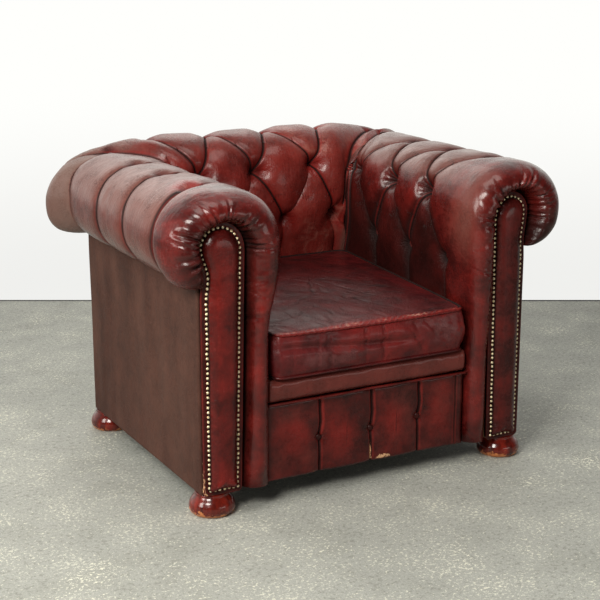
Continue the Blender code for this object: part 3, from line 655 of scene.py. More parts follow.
def arm_point(c, u, arm, facing):
    """Point of an arm's leather. c from -1 to 0 rounds the front from the facing's outline, from 0
    to 1 runs straight to the last whole button column, and from 1 to 2 on to the rear pleat.

    The round front is a superellipse: by a turn of up to CAP_TURN its depth goes by the sine, out to
    the bulge and back, and by the cosine it leaves the arm's section for the facing's outline. It
    falls past its crest into the valley beside the facing, and past VALLEY_AT it runs level to the
    facing's own edge. Where the facing is lapped, the turn ends early and the leather covers the
    edge. Under the roll the bulge falls to nothing, and the roll hangs lower by a half sine.
    """
    inset, z = roll_section(u, arm)
    x = SIDE_X - inset
    lapped = eased(u, (0.2, 0.7, 1.6, 2.3, 3.4, 3.9), facing["lapped"])
    turn = CAP_TURN - math.radians(30) * lapped
    angle = np.clip(-c / VALLEY_AT, 0, 1) * turn
    level = np.cos(angle)
    turned = np.abs(level) ** (2 / CAP_POWER)
    crest = 0.5 + 0.16 * smooth((u - 0.9) / 0.5)
    beyond = crest + (1 - crest) * turned / np.abs(np.cos(turn)) ** (2 / CAP_POWER)
    share = np.where(level > 0, crest * (1 - turned), beyond)
    inside, above, outside = facing["valley"]
    valley = eased(u, (0.0, 0.3, 1.3, 2.0, 2.6), (0.006, inside, inside, above, outside))
    valley += (0.002 - valley) * smooth((u - 3.5) / 0.5)
    valley += (facing["lap"] - valley) * lapped
    rim_x, rim_z = keyhole(u, facing, valley)
    key_x, key_z = keyhole(u, facing, 0.001)
    over = smooth((-c - VALLEY_AT) / (1 - VALLEY_AT))
    bulge = BULGE + 0.016 * smooth((u - 0.5) / 0.5)
    start = front_start(u)
    bulge -= (bulge + 0.002) * (1 - np.sqrt(1 - np.clip((u - 3.1) / 0.9, 0, 1) ** 2.4))
    front = start - (start + bulge) * np.sin(angle) ** (2 / CAP_POWER)
    front = front + (0.012 - front) * over * lapped
    end = corner(u, arm, BACK_SHAPE)[3] + OVERLAP * smooth((1.8 - u) / 0.5)
    y = COLUMN_BACK + (ARM_LAST - COLUMN_BACK) * np.clip(c, 0, 1)
    y = y + (start - COLUMN_BACK) * np.clip(1 - c / FIRST_PLEAT, 0, 1)
    y = y + (end - ARM_LAST) * np.clip(c - 1, 0, 1) - lean(c, u, arm["forward"])
    y = np.where(c < 0, front, y)
    under_roll = np.sin(math.pi * np.clip((u - 2.9) / 1.5, 0, 1))
    z = z - facing["hang"] * np.clip(1 - c / 0.25, 0, 1) * under_roll
    lower = 0.016 * smooth((u - 3.4) / 0.6)
    x = x + (rim_x - x) * share
    z = z + (rim_z - lower - z) * share + 0.006 * np.sin(angle) * smooth(1 - u / 0.06)
    return np.stack([x + (key_x - x) * over, y, z + (key_z - lower - z) * over], -1)


def round_corner(share, u, arm):
    """Way of the back's leather beyond its straight middle, share from 0 to 1: first to the corner's
    diagonal, then round it and forward to the arm's last pleat. Returns the way and the corner's
    sizes.
    """
    x0, y0, radius, end, arm_z, back_z = corner(u, arm, BACK_SHAPE, smooth((1.0 - share) / 0.55))
    straight = x0 - radius - BACK_LAST
    arc = radius * math.pi / 2
    half_way = straight + arc / 2
    whole = straight + arc + (y0 - radius - end) + OVERLAP * smooth((1.5 - u) / 0.4)
    way = half_way * np.clip(2 * share, 0, 1) + (whole - half_way) * np.clip(2 * share - 1, 0, 1)
    return way, straight, arc, radius, y0, arm_z, back_z


def back_point(c, u, arms):
    """Point of the back's leather. c from -1 to 1 is the straight middle; beyond, the path goes on
    along the back, round the corner by a quarter arc, and forward to the arm's last pleat.

    The height goes over from the back's section to the arm's by a smooth step, with a hollow at the
    left corner and a hump at the right one. Towards the crown the pleats lean to the left.
    """
    side = np.abs(c)
    share = np.clip(side - 1, 0, 1)
    points = []
    for arm in arms:
        way, straight, arc, radius, y0, arm_z, back_z = round_corner(share, u, arm)
        turn = np.clip((way - straight) / np.maximum(radius, 1e-6), 0, math.pi / 2)
        turn = np.where(radius > 1e-6, turn, 0.0)
        forward = np.clip(way - straight - arc, 0, None)
        ahead = smooth((1.5 - u) / 0.4)
        x = BACK_LAST + np.minimum(way, straight) + radius * np.sin(turn) + forward * ahead
        y = y0 - radius + radius * np.cos(turn) - forward * (1 - ahead)
        x = np.where(side <= 1, side * BACK_LAST, x)
        y = np.where(side <= 1, y0, y)
        shift = np.where(c < 0, -1.0, 1.0) * CROWN_SHIFT
        x = x + shift * smooth((u - 1.3) / 0.6) * smooth((1.5 - side) / 0.5)
        left_hollow = -0.007 * np.sin(math.pi * share)
        right_hump = 0.008 * bell(share, 0.72, 0.14)
        hump = np.where(c < 0, left_hollow, right_hump)
        z = back_z + (arm_z - back_z) * smooth(share / 0.8) + hump * smooth((u - 1.5) / 0.5)
        points.append(np.stack([x, y, z], -1))
    left = points[0] * np.array([-1.0, 1.0, 1.0])
    return np.where((c < 0)[..., None], left, points[1])


def outward(point_at, c, u):
    """Unit normals of a surface function, from small steps along and up it."""
    step = 0.004
    along = point_at(c + step, u) - point_at(c - step, u)
    up = point_at(c, u + step) - point_at(c, u - step)
    normal = np.cross(up, along)
    return normal / np.maximum(np.linalg.norm(normal, axis=-1, keepdims=True), 1e-12)


# ---- tufting ----
def zigzag(c, corners):
    """Straight runs between the corners of a zigzag, corners as pairs of place and height."""
    return np.interp(c, [p[0] for p in corners], [p[1] for p in corners])


def tuft_rows(low, middle, floor, end):
    """Heights of all rows at each column: three below the seat, then three bands between the pleats,
    each crowded towards the pleats.
    """
    level = np.zeros_like(low)
    spans = ((level, level + floor, np.linspace(0, 1, 4)[:-1]),
             (level + floor, low, 1 - (1 - np.linspace(0, 1, 44)[:-1]) ** 1.7),
             (low, middle, gathered(62, 1.6)[:-1]),
             (middle, level + end, np.linspace(0, 1, 92) ** 1.3))
    return np.concatenate([start + (stop - start) * share[:, None] for start, stop, share in spans])


def sunk(s, t, pleats, wells, seed, points):
    """How far the leather lies under its smooth section.

    Between pleats it is a pillow, a power of the distance to each pleat, multiplied together so that
    meeting pleats blend. A narrow groove follows each pleat. A well falls to each button, and radial
    folds fade away from it. Returns depth, pleat distance and the way to the nearest button.
    """
    gaps = to_segments(s, t, [line for line, _, _, _ in pleats])
    open_share = np.ones_like(s)
    groove = np.zeros_like(s)
    nearest = np.full_like(s, 0.5)
    lip = np.zeros_like(s)
    for signed, (_, sag, reach, crisp) in zip(gaps, pleats):
        gap = np.abs(signed)
        pull = np.clip(1 - gap / reach, 0, 1)
        tight = np.clip(1 - gap / 0.022, 0, 1)
        sharp, broad = min(crisp, 1.0), max(crisp, 1.0)
        open_share = open_share * (1 - sag * ((1 - 0.38 * sharp) * pull ** 2 + 0.38 * sharp * tight ** 2))
        groove = np.maximum(groove, 0.0030 * crisp * np.exp(-((gap / (0.0030 * broad)) ** 1.5)))
        lip = np.maximum(lip, crisp * bell(signed, 0.0055 * broad, 0.0030))
        nearest = np.minimum(nearest, np.maximum(gap - 0.0052 * (broad - 1), 0) + 0.012 * (1 - sharp))
    depth = 0.0175 * (1 - open_share) + groove - 0.0008 * lip
    way = np.full(s.shape + (2,), FAR)
    for (s0, t0), well, reach in wells:
        away = np.stack([s - s0, t - t0], -1)
        r = np.linalg.norm(away, axis=-1)
        angle = np.arctan2(away[..., 1], away[..., 0])
        folds = cloud(np.stack([np.cos(angle) * 2.6, np.sin(angle) * 2.6, 0 * r + s0 * 40], -1), 1.0, seed)
        fall = np.clip(1 - r / reach, 0, 1)
        depth = depth + well * fall ** 2.6 + 0.14 * well * folds * bell(r, 0.018, 0.012)
        way = np.where((r < np.linalg.norm(way, axis=-1))[..., None], away, way)
    depth = depth + 0.0016 * cloud(points, 0.07, seed + 3) + 0.0007 * cloud(points, 0.022, seed + 5, 2)
    return depth, nearest, way


def tone_of(points, nearest, way, seed):
    """Painted shade, rub and fade of tufted leather: painted shade in wells and pleats, rubbed in patches,
    with no fade.
    """
    r = np.linalg.norm(way, axis=-1)
    # Painted shade near pleats and in the wells round the buttons.
    shade = 0.42 + 0.58 * smooth(nearest / 0.030)
    shade = shade * (0.35 + 0.65 * smooth((r - 0.003) / 0.030)) * smooth((r - 0.003) / 0.010)
    rub = 0.25 + 0.25 * cloud(points, 0.16, seed, 3)
    return np.stack([shade, rub, np.zeros_like(shade)], -1)


def shell_shading(tone, way, crease, bare):
    """Attribute values of a closed shell: those of its outer grid, then the same for the inner."""
    tuft = np.concatenate([way, crease[..., None]], -1)
    return {"tone": np.concatenate([tone.reshape(-1, 3)] * 2),
            "tuft": np.concatenate([tuft.reshape(-1, 3)] * 2),
            "bare": np.concatenate([bare.ravel()] * 2)}


def tufted_piece(point_at, core_at, columns, low, middle, measure, s_of, pleats, wells, sign, seed,
                 paint, extra=None, nudges=()):
    """Mesh, shading and grids of one buttoned cover with its stuffing.

    Rows follow the zigzags of pleats. Points sink against the normals, which sign turns outwards, by
    the pleats and wells and by the extra folds. Each nudge shifts the leather round one place by a
    bell curve. Behind the round front of an arm nothing reaches below the seat. The inner side
    follows the frame.
    """
    t = tuft_rows(low, middle, measure.floor, measure.end)
    c = np.broadcast_to(columns[None, :], t.shape)
    u = measure.station(t)
    points = point_at(c, u)
    normal = sign * outward(point_at, c, u)
    s = s_of(c, u, points)
    depth, nearest, way = sunk(s, t, pleats, wells, seed, points)
    folded = np.zeros_like(depth) if extra is None else extra(c, t, points)
    skin = points - (depth + folded)[..., None] * normal
    for s0, t0, reach, shift in nudges:
        near = np.exp(-((s - s0) ** 2 + (t - t0) ** 2) / reach ** 2)
        skin = skin + near[..., None] * np.array(shift)
    tone = tone_of(points, nearest, way, seed + 11)
    # Painted shade in the bottoms of the gathered folds.
    tone[..., SHADE] *= 1 - 0.75 * smooth((folded - 0.0015) / 0.0060)
    tone = paint(c, t, skin, normal, tone)
    r = np.linalg.norm(way, axis=-1)
    tone[..., FADE_AND_SHEEN] *= 0.15 + 0.85 * smooth((r - 0.006) / 0.034)
    tone[..., FADE_AND_SHEEN] *= 0.6 + 0.4 * smooth(nearest / 0.012)
    inner = core_at(c, u)
    over_seat = c > 0.010 if sign > 0 else np.ones_like(c, bool)
    for grid in (skin, inner):
        grid[..., 2] = np.where(over_seat, np.maximum(grid[..., 2], SEAT_LEVEL), grid[..., 2])
    verts, faces = closed_shell(skin, inner)
    shading = shell_shading(tone, way, nearest, np.zeros_like(depth))
    return verts, faces, shading, (skin, normal, s, t)


def column_run(start, stop, pitch, count):
    """Places from start to stop by whole pitches, crowded towards each pitch's ends."""
    places = []
    for k in range(int(round((stop - start) / pitch))):
        places.extend(start + pitch * (k + gathered(count, 1.8)[:-1]))
    return places


SEATS = {}       # places and directions of the buttons, by the piece that they sit in


def seat_of(grids, s0, t0):
    """Place and direction of a button: the grid's point nearest to it in the leather's plane."""
    skin, normal, s, t = grids
    nearest = np.argmin((s - s0) ** 2 + (t - t0) ** 2)
    i, j = np.unravel_index(nearest, s.shape)
    around = normal[max(i - 3, 0):i + 4, max(j - 3, 0):j + 4].reshape(-1, 3).mean(0)
    around /= np.linalg.norm(around)
    return skin[i, j], around


def arm_column_of(y):
    """Column value of a depth on an arm's straight run."""
    return (y - COLUMN_BACK) / (ARM_LAST - COLUMN_BACK)


def arm_pleats(side, measure, even, odd, tops):
    """Pleats and wells of an arm: each pleat is a line, its sag, reach and crispness, and each well
    a place, depth and reach.

    A pleat falls from each lower button to the seat, diamonds run between the lower, the upper and
    the crown's buttons, and one pleat goes on from each crown button over the roll. At the rear a
    mitre follows the crease beside the back, and a last pleat goes over the roll's corner.
    """
    a, b, crown = measure.row_a, measure.row_b, measure.crown

    def crease_at(t):
        """Depth of the crease beside the back at a length."""
        return float(corner(measure.station(t), ARM_SHAPES[side], BACK_SHAPE)[3])

    pleats = []
    for y in even:
        pleats.append(([(y, measure.floor), (y, b)], 0.7, 0.050, 0.3))
        pleats.append(([tops[y], (y, measure.end)], 0.60, 0.046, 2.0))
        for target in odd:
            if abs(abs(target - y) - PITCH) < 1e-6:
                folded = target < y
                pleats.append(([(y, b), (target, a)], 0.8 if folded else 0.65, 0.055, float(folded)))
                pleats.append(([tops[y], (target, a)], 0.6, 0.055, 1.0))
    last_up = []
    for share in np.linspace(0.0, 1.0, 9):
        t = a + (crown - a) * share
        last_up.append((ARM_LAST + (crease_at(t) - ARM_LAST) * share, t))
    pleats.append((last_up, 0.30, 0.040, 0.1))
    last_over = [(crease_at(t), t) for t in np.linspace(crown, measure.end, 12)]
    pleats.append((last_over, 0.60, 0.050, 1.7))
    mitre = [(crease_at(t), t) for t in np.linspace(measure.floor, crown, 12)]
    pleats.append((mitre, 0.55, 0.030, 1.0))

    wells = [((y, a), 0.042, 0.056) if y < ARM_LAST else ((y, a), 0.036, 0.040) for y in odd]
    low_well, top_well = (0.034, 0.027) if side == "left" else (0.012, 0.006)
    for y in even:
        wells.append(((y, b), low_well, 0.050))
        wells.append((tops[y], top_well, 0.050))
    if side == "left":
        wells.append(((even[0] + 0.006, measure.of(2.08)), 0.020, 0.042))
    return pleats, wells


def front_gathers(side, measure, seed):
    """Function for the folds that start at the facing's edge and run out over the round front.

    Each fold is a narrow V between two low lips, and widens and fades away from the edge. Most lie
    over the roll, deep and at random steps, and a few shallow ones lie down the column. A ripple of
    soft noise fills in between, and two level seams cross the column low down.
    """
    over_roll, on_column = 34, 12
    count = over_roll + on_column
    column_low, column_high, roll_end = (measure.of(u) for u in (0.25, 0.95, 3.7))
    rng = np.random.default_rng(seed)
    steps = rng.uniform(0.3, 1.0, over_roll) ** 1.3
    places = column_high + (roll_end - column_high) * np.cumsum(steps) / steps.sum()
    places = np.concatenate([places, rng.uniform(column_low, column_high, on_column)])
    depths = np.concatenate([rng.uniform(0.3, 1.0, over_roll) ** 1.2, rng.uniform(0.08, 0.35, on_column)])
    lengths = np.concatenate([rng.uniform(0.40, 0.78, over_roll), rng.uniform(0.4, 0.8, on_column)])
    slants = rng.uniform(-0.035, 0.035, count)
    widths = rng.uniform(0.0018, 0.0048, count)
    folds = list(zip(places, depths, lengths, slants, widths))
    inner_gain = 0.15 if side == "left" else 0.30

    def gathers(c, t, points):
        """Depth of the folds and seams."""
        from_edge = np.clip(c / VALLEY_AT + 1.0, 0, None)
        total = np.zeros_like(t)
        for place, amount, length, slant, width in folds:
            off = np.abs(t - place - slant * from_edge) / (width * (1.0 + 1.3 * from_edge))
            taper = np.clip(1 - from_edge / length, 0, 1) ** 0.6
            total += amount * taper * (np.exp(-off ** 1.6) - 0.35 * bell(off, 2.2, 1.1))
        ripple = cloud(np.stack([t, from_edge * 0.05, 0 * t], -1), 0.016, seed + 21, 2)
        inner_side = smooth((measure.crown - t) / 0.05)
        total *= 1 + inner_gain * inner_side
        ripple_depth = 0.0022 - 0.0012 * inner_side
        total = 0.0080 * total + ripple_depth * ripple * np.clip(1 - from_edge / 0.8, 0, 1)
        seam = bell(points[..., 2], 0.2335, 0.0022)
        seam += 0.6 * bell(points[..., 2], 0.286, 0.0022)
        lower = (c < 0.02) * np.clip(1 - c / 0.02, 0, 1) * smooth((2.0 - t / measure.of(1.0)) * 4)
        return np.where(c < 0.35, total, 0.0) + 0.0022 * seam * np.clip(lower, 0, 1) * (t < measure.of(1.0))

    return gathers


# How each arm is worn and lit in paint: where along the roll its top starts to fade and take a painted
# sheen, how far the outer side and the inner side of the front fade, partly as painted sheen, and how wide
# the painted shade beside the facing is at four stations.
ARM_WEAR_AND_LIGHT = {
    "left": dict(pale_from=-0.09, pale_side=0.68, inner_front=0.28, rim=(0.36, 0.48, 0.13, 0.08)),
    "right": dict(pale_from=0.05, pale_side=0.2, inner_front=0.42, rim=(0.10, 0.08, 0.18, 0.30)),
}


def arm_paint(side, measure):
    """Function for the tone of an arm: a rubbed front and inside; a top and outer side that fade, partly as
    painted sheen; painted shade under the roll, low on the inside and beside the facing."""
    wear_and_light = ARM_WEAR_AND_LIGHT[side]

    def left_marks(c, u, skin, tone):
        """The hollow at the first crown button is rubbed and does not fade; painted shade darkens the first
        outer pleat.
        """
        shallow = patch(skin[..., 1], 0.114, 0.045, u, 2.09, 0.25)
        tone[..., RUB] += 0.6 * shallow
        tone[..., FADE_AND_SHEEN] *= 1 - shallow
        # Painted shade along the first outer pleat.
        first_pleat = bell(c, 0.192, 0.016) * smooth((u - 1.9) / 0.2)
        tone[..., SHADE] *= 1 - 0.92 * first_pleat
        tone[..., FADE_AND_SHEEN] *= 1 - 0.92 * first_pleat
        tone[..., RUB] *= 1 - 0.8 * first_pleat

    def right_marks(c, u, skin, tone):
        """A rubbed and faded patch inside the front, and less rub over the roll."""
        rubbed = patch(skin[..., 1], 0.02, 0.06, skin[..., 2], 0.60, 0.11) * (u < 1.9)
        tone[..., RUB] += 0.55 * rubbed
        tone[..., FADE_AND_SHEEN] += 0.42 * rubbed
        tone[..., RUB] -= 0.25 * smooth((u - 2.0) / 0.4)

    def paint(c, t, skin, normal, tone):
        """The tone with this arm's rub, fading, painted sheen and painted shade."""
        z = skin[..., 2]
        u = measure.station(t)
        up = smooth((normal[..., 2] - 0.1) / 0.8)
        outer = smooth((u - 2.1) / 0.5)
        # Fading on tops and the outer side, partly a painted sheen from the sky.
        tone[..., FADE_AND_SHEEN] = 0.85 * up * smooth((c - wear_and_light["pale_from"]) / 0.20)
        tone[..., FADE_AND_SHEEN] += wear_and_light["pale_side"] * outer * smooth((c + 0.01) / 0.11)
        front = smooth(-c / 0.5)
        tone[..., RUB] += (0.22 - 0.18 * smooth((z - 0.33) / 0.2)) * front
        # Painted shade under the roll.
        under = front * smooth((u - 2.5) / 1.0)
        tone[..., SHADE] *= 1 - 0.60 * under
        tone[..., RUB] -= 0.30 * front * smooth((u - 1.3) / 0.4)
        # Fading inside the front, partly a painted sheen.
        inner_front = bell(c, -0.10, 0.25) * smooth((u - 0.7) / 0.3) * smooth((1.9 - u) / 0.3)
        tone[..., FADE_AND_SHEEN] += wear_and_light["inner_front"] * inner_front
        marks = left_marks if side == "left" else right_marks
        marks(c, u, skin, tone)
        # Painted shade low on the inner face.
        low_inside = smooth((0.66 - z) / 0.13) * smooth((skin[..., 1] - 0.06) / 0.12) * (u < 1.6)
        tone[..., SHADE] *= 1 - 0.66 * low_inside
        tone[..., RUB] *= 1 - 0.8 * low_inside
        # Painted shade in the hollow beside the facing.
        rim = smooth(1 - (c + 1.0) / eased(u, (0.0, 1.2, 2.0, 2.8), wear_and_light["rim"])) * (c < 0)
        tone[..., SHADE] *= 1 - 0.90 * rim
        tone[..., RUB] *= 1 - rim
        return tone

    return paint


def make_arm(side):
    """An arm's cover, buttoned in diamonds inside and pleated outside, gathered round the facing."""
    arm, facing = ARM_SHAPES[side], FACINGS[side]
    measure = Measure(arm)
    a, b, crown = measure.row_a, measure.row_b, measure.crown
    even = [ARM_FIRST + 2 * PITCH * k for k in range(3)]
    odd = [ARM_FIRST + PITCH + 2 * PITCH * k for k in range(3)]
    tops = {y: (y, crown) for y in even}
    if side == "left":
        tops[even[0]] = (even[0] - 0.010, measure.of(2.13))

    front = np.linspace(-1, 0, 48)[:-1]
    to_first = 1 - (1 - np.linspace(0, 1, 20)[:-1]) ** 1.5
    lump = arm_column_of(COLUMN_BACK + (ARM_FIRST - COLUMN_BACK) * to_first)
    straight = [arm_column_of(y) for y in column_run(ARM_FIRST, ARM_LAST, PITCH, 21)]
    rear = 1 + (1 - (1 - np.linspace(0, 1, 20)) ** 1.6)
    columns = np.concatenate([front, lump, straight, rear])
    order = sorted([(arm_column_of(y), 0) for y in even] + [(arm_column_of(y), 1) for y in odd])
    order.append((2.0, 0))
    low = zigzag(columns, [(c, (b, a)[k]) for c, k in order])
    middle = zigzag(columns, [(c, (crown, a)[k]) for c, k in order])

    def point_at(c, u):
        """Point of this arm's leather."""
        return arm_point(c, u, arm, facing)

    def s_of(c, u, points):
        """Length along the arm: depth, less the lean and the slide of the first lump; on the round
        front 9 cm for its whole turn."""
        slid = (front_start(u) - COLUMN_BACK) * np.clip(1 - c / FIRST_PLEAT, 0, 1)
        return np.where(c < 0, COLUMN_BACK + c * 0.09, points[..., 1] + lean(c, u, arm["forward"]) - slid)

    def core_at(c, u):
        """The frame side: the facing's outline carried to the rear."""
        x, z = keyhole(u, facing, 0.001)
        y = np.where(c < 0, PAD_START + (c + 1) * 0.006, point_at(np.maximum(c, 0), u)[..., 1] + 0.006)
        y = np.where(c > 1, np.minimum(y, PAD_END), y)
        return np.stack([x, y, z], -1)

    seed = 100 if side == "left" else 200
    pleats, wells = arm_pleats(side, measure, even, odd, tops)
    verts, faces, shading, grids = tufted_piece(
        point_at, core_at, columns, low, middle, measure, s_of, pleats, wells, 1.0, seed,
        arm_paint(side, measure), front_gathers(side, measure, seed))
    flip = side_flip(side)
    piece = make_piece(f"buttoned_arm_{side}", verts * flip, faces, HIDES["tufted"],
                       shading)
    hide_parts(f"arm_cover_{side}", f"arm_pad_{side}")
    rear_top = (0.622, crown)
    spots = [(y, a) for y in odd] + [(y, b) for y in even] + [tops[y] for y in even] + [rear_top]
    SEATS[side] = [tuple(part * flip for part in seat_of(grids, s0, t0)) for s0, t0 in spots]


def side_flip(side):
    """Factors that carry the right side's points to the named side."""
    return np.array([-1.0 if side == "left" else 1.0, 1.0, 1.0])


def back_pleats(measure, s_of):
    """Pleats and wells of the back, in the form that the arms' have.

    They lie like the arms': down from the lower buttons, in diamonds to the crown and over the roll.
    At each end one line follows the crease beside the arm and one goes over the roll's corner.
    """
    a, b, crown = measure.row_a, measure.row_b, measure.crown
    pleats, wells = [], []
    for k in (-3, -1, 1, 3):
        x = k * BACK_PITCH
        pleats.append(([(x, measure.floor), (x, b)], 0.9, 0.040, 0.6))
        pleats.append(([(x, crown), (x, measure.end)], 0.6, 0.055, 1.0))
        for n in (k - 1, k + 1):
            if abs(n) <= 2:
                crisp = 1.0 if n < k else 0.25
                pleats.append(([(x, b), (n * BACK_PITCH, a)], 0.8, 0.055, crisp))
                pleats.append(([(x, crown), (n * BACK_PITCH, a)], 0.65, 0.055, 1.0))
        wells.append(((x, crown), 0.008, 0.050))
        wells.append(((x, b), 0.030 if abs(k) == 1 else 0.020, 0.052))
    for k in (-2, 0, 2):
        wells.append(((k * BACK_PITCH, a), 0.034, 0.052))
    for sign in (-1, 1):
        for share, sag, start in ((2.0, 0.55, measure.floor), (1.5, 0.75, measure.of(0.9))):
            line = [(float(s_of(np.array(sign * share), measure.station(t), None)), t)
                    for t in np.linspace(start, measure.end, 60)]
            pleats.append((line, sag, 0.045, 1.0))
            wells.append(((float(s_of(np.array(sign * share), CROWN, None)), crown), 0.007, 0.045))
    return pleats, wells


def make_back():
    """The back's cover, buttoned in diamonds, whose ends round the corners to the arms' pleats."""
    arms = (ARM_SHAPES["left"], ARM_SHAPES["right"])
    measure = Measure(BACK_SHAPE)
    half = np.array(column_run(0.0, BACK_LAST, BACK_PITCH, 21)) / BACK_LAST
    ends = np.concatenate([1 + 0.5 * gathered(24, 1.7)[:-1], 1.5 + 0.5 * gathered(20, 1.7)])
    right = np.concatenate([half, ends])
    columns = np.concatenate([-right[:0:-1], right])
    a, b, crown = measure.row_a, measure.row_b, measure.crown
    unit = BACK_PITCH / BACK_LAST
    order = [(k * unit, abs(k) % 2) for k in range(-3, 4)]
    low = zigzag(columns, [(-2.0, b)] + [(c, (a, b)[k]) for c, k in order] + [(2.0, b)])
    middle = zigzag(columns, [(-2.0, a + 0.03)] + [(c, (a, crown)[k]) for c, k in order] + [(2.0, a + 0.03)])
    middle = np.maximum(middle, low + 0.012 * (np.abs(columns) > 1.001))

    def point_at(c, u):
        """Point of the back's leather between these arms."""
        return back_point(c, u, arms)

    def s_of(c, u, points):
        """Length along the row: straight, then on round the corner."""
        side = np.abs(c)
        way = [round_corner(np.clip(side - 1, 0, 1), u, arm)[0] for arm in arms]
        return np.sign(c) * (np.minimum(side, 1) * BACK_LAST + np.where(c < 0, way[0], way[1]))

    def paint(c, t, skin, normal, tone):
        """Tone of the back: rubbed ahead, more to the right, which also stands in as painted light; fading
        on top, on the outside and most on the left corner's lump, partly as painted sheen; one fold low
        beside the right arm is worn and painted as lit."""
        x, z = skin[..., 0], skin[..., 2]
        # Painted sheen: fading on top and on the left corner's lump, which greys.
        up = smooth((normal[..., 2] - 0.25) / 0.8)
        corner_lump = smooth((np.abs(c) - 1.1) / 0.5) * smooth((measure.station(t) - 1.8) / 0.4)
        corner_lump *= np.where(x < 0, 1.0, 0.15)
        to_right = smooth((x - 0.02) / 0.15)
        tone[..., FADE_AND_SHEEN] = 0.30 + 0.20 * up + 1.50 * corner_lump + 0.10 * to_right
        # Rub ahead, which also brightens the back as painted light.
        ahead = smooth((2.5 - measure.station(t)) / 0.5)
        tone[..., RUB] += (0.38 + 0.20 * to_right) * (1 - corner_lump) * ahead
        tone[..., FADE_AND_SHEEN] += 0.35 * (1 - ahead)
        # A worn fold beside the right arm, also a painted highlight.
        lit_worn_fold = bell(x, 0.272, 0.010) * smooth((0.56 - z) / 0.08)
        tone[..., FADE_AND_SHEEN] += 1.2 * lit_worn_fold * (z > 0.40)
        return tone

    def core_at(c, u):
        """The frame side: it lies 10 mm from the outer panel under the roll and up to 56 mm at the
        inner face, in step with the facing's outline, and ends between the arms."""
        x, z = keyhole(u, FACINGS["left"], 0.001)
        across = (SIDE_X - x - 0.0115) / (SIDE_X - 0.331 - 0.0105)
        inset = 0.0105 + 0.0455 * np.clip(across, 0.0, 1.0)
        side = np.abs(c)
        reach = np.minimum(x, 0.418)
        width = np.where(side <= 1, side * BACK_LAST, BACK_LAST + (side - 1) * (reach - BACK_LAST))
        return np.stack([np.sign(c) * width, REAR - inset, z], -1)

    pleats, wells = back_pleats(measure, s_of)
    nudges = [(2 * BACK_PITCH, a, 0.05, (0.0, 0.004, 0.010)),
              (0.0, a, 0.05, (-0.006, 0.008, 0.0)),
              (3 * BACK_PITCH, b, 0.04, (-0.022, 0.012, 0.006))]
    verts, faces, shading, grids = tufted_piece(
        point_at, core_at, columns, low, middle, measure, s_of, pleats, wells, -1.0, 300, paint,
        nudges=nudges)
    piece = make_piece("buttoned_back", verts, faces, HIDES["back"], shading)
    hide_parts("back_cover", "back_pad")
    spots = [(k * BACK_PITCH, a) for k in (-2, 0, 2)] + [(k * BACK_PITCH, b) for k in (-3, -1, 1, 3)]
    spots += [(k * BACK_PITCH, crown) for k in (-3, -1, 1, 3)]
    SEATS["back"] = [seat_of(grids, s0, t0) for s0, t0 in spots]


# ---- buttons, nails and piping ----
def dome(radius, height, rings, sides, power=2.0):
    """A dome's points and faces: its radius falls as a rounded quarter turn, with a base and a pole."""
    turn = np.linspace(0, 1, rings + 1)[:-1]
    across, up = quarter(turn, power)
    angle = np.linspace(0, 2 * math.pi, sides, endpoint=False)
    ring_points = np.stack([radius * across[:, None] * np.cos(angle),
                            radius * across[:, None] * np.sin(angle),
                            height * up[:, None] + 0 * angle[None, :]], -1)
    verts = np.concatenate([ring_points.reshape(-1, 3), [[0, 0, height]], [[0, 0, 0]]])
    faces = list(grid_quads(rings, sides, wrap=True))
    top = (rings - 1) * sides
    for k in range(sides):
        nxt = (k + 1) % sides
        faces.append((top + k, top + nxt, rings * sides))
        faces.append((nxt, k, rings * sides + 1))
    return verts, faces


def set_on(mesh, place, direction):
    """Turns a mesh's +Z to the direction and moves it to the place."""
    verts, faces = mesh
    direction = np.asarray(direction, float)
    direction = direction / np.linalg.norm(direction)
    helper = np.array([0.0, 0.0, 1.0]) if abs(direction[2]) < 0.9 else np.array([1.0, 0.0, 0.0])
    across = np.cross(helper, direction)
    across /= np.linalg.norm(across)
    up = np.cross(direction, across)
    return verts @ np.stack([across, up, direction]) + place, faces


def flat_shading(count, shade, rub, fade=0.0):
    """Even attribute values for a piece without tufting."""
    return {"tone": np.tile([shade, rub, fade], (count, 1)),
            "tuft": np.tile([FAR, FAR, FAR], (count, 1)), "bare": np.zeros(count)}


def make_buttons(name, seats, nodes, radius=0.0088, height=0.0058):
    """Covered buttons: low domes standing just clear of the bottom of their wells."""
    clear = 0.0015
    parts = [set_on(dome(radius, height, 6, 20, 2.3), place + clear * way, way) for place, way in seats]
    verts, faces = joined(parts)
    piece = make_piece(name, verts, faces, HIDES["facing"],
                       flat_shading(len(verts), 0.35, 0.15))
    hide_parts(*nodes)


def outline_of(shape, inset=0.0, count=720):
    """Closed outline of a facing, drawn in by inset: keyhole, outer edge and foot, evenly spaced."""
    x, z = keyhole(np.linspace(0, 4, 400), shape)
    z = np.maximum(z, LEATHER_LOW)
    neck_x, neck_z = shape["neck"]
    outer = shape["outer"]
    down = np.linspace(0, 1, 20)[1:]
    side_x = neck_x + (outer - neck_x) * smooth(down)
    side_z = neck_z + (OUTER_TOP - neck_z) * down
    rounding = 0.006
    x = np.concatenate([x, side_x, [outer, outer - rounding, x[0] + rounding]])
    z = np.concatenate([z, side_z, [LEATHER_LOW + rounding, LEATHER_LOW, LEATHER_LOW]])
    z[0] = LEATHER_LOW + rounding
    loop = even_loop(np.stack([x, z], 1), count)
    if inset:
        tangent = np.roll(loop, -1, 0) - np.roll(loop, 1, 0)
        tangent /= np.linalg.norm(tangent, axis=1, keepdims=True)
        inward = np.stack([tangent[:, 1], -tangent[:, 0]], 1)
        loop = even_loop(loop + inset * inward, count)
    return loop


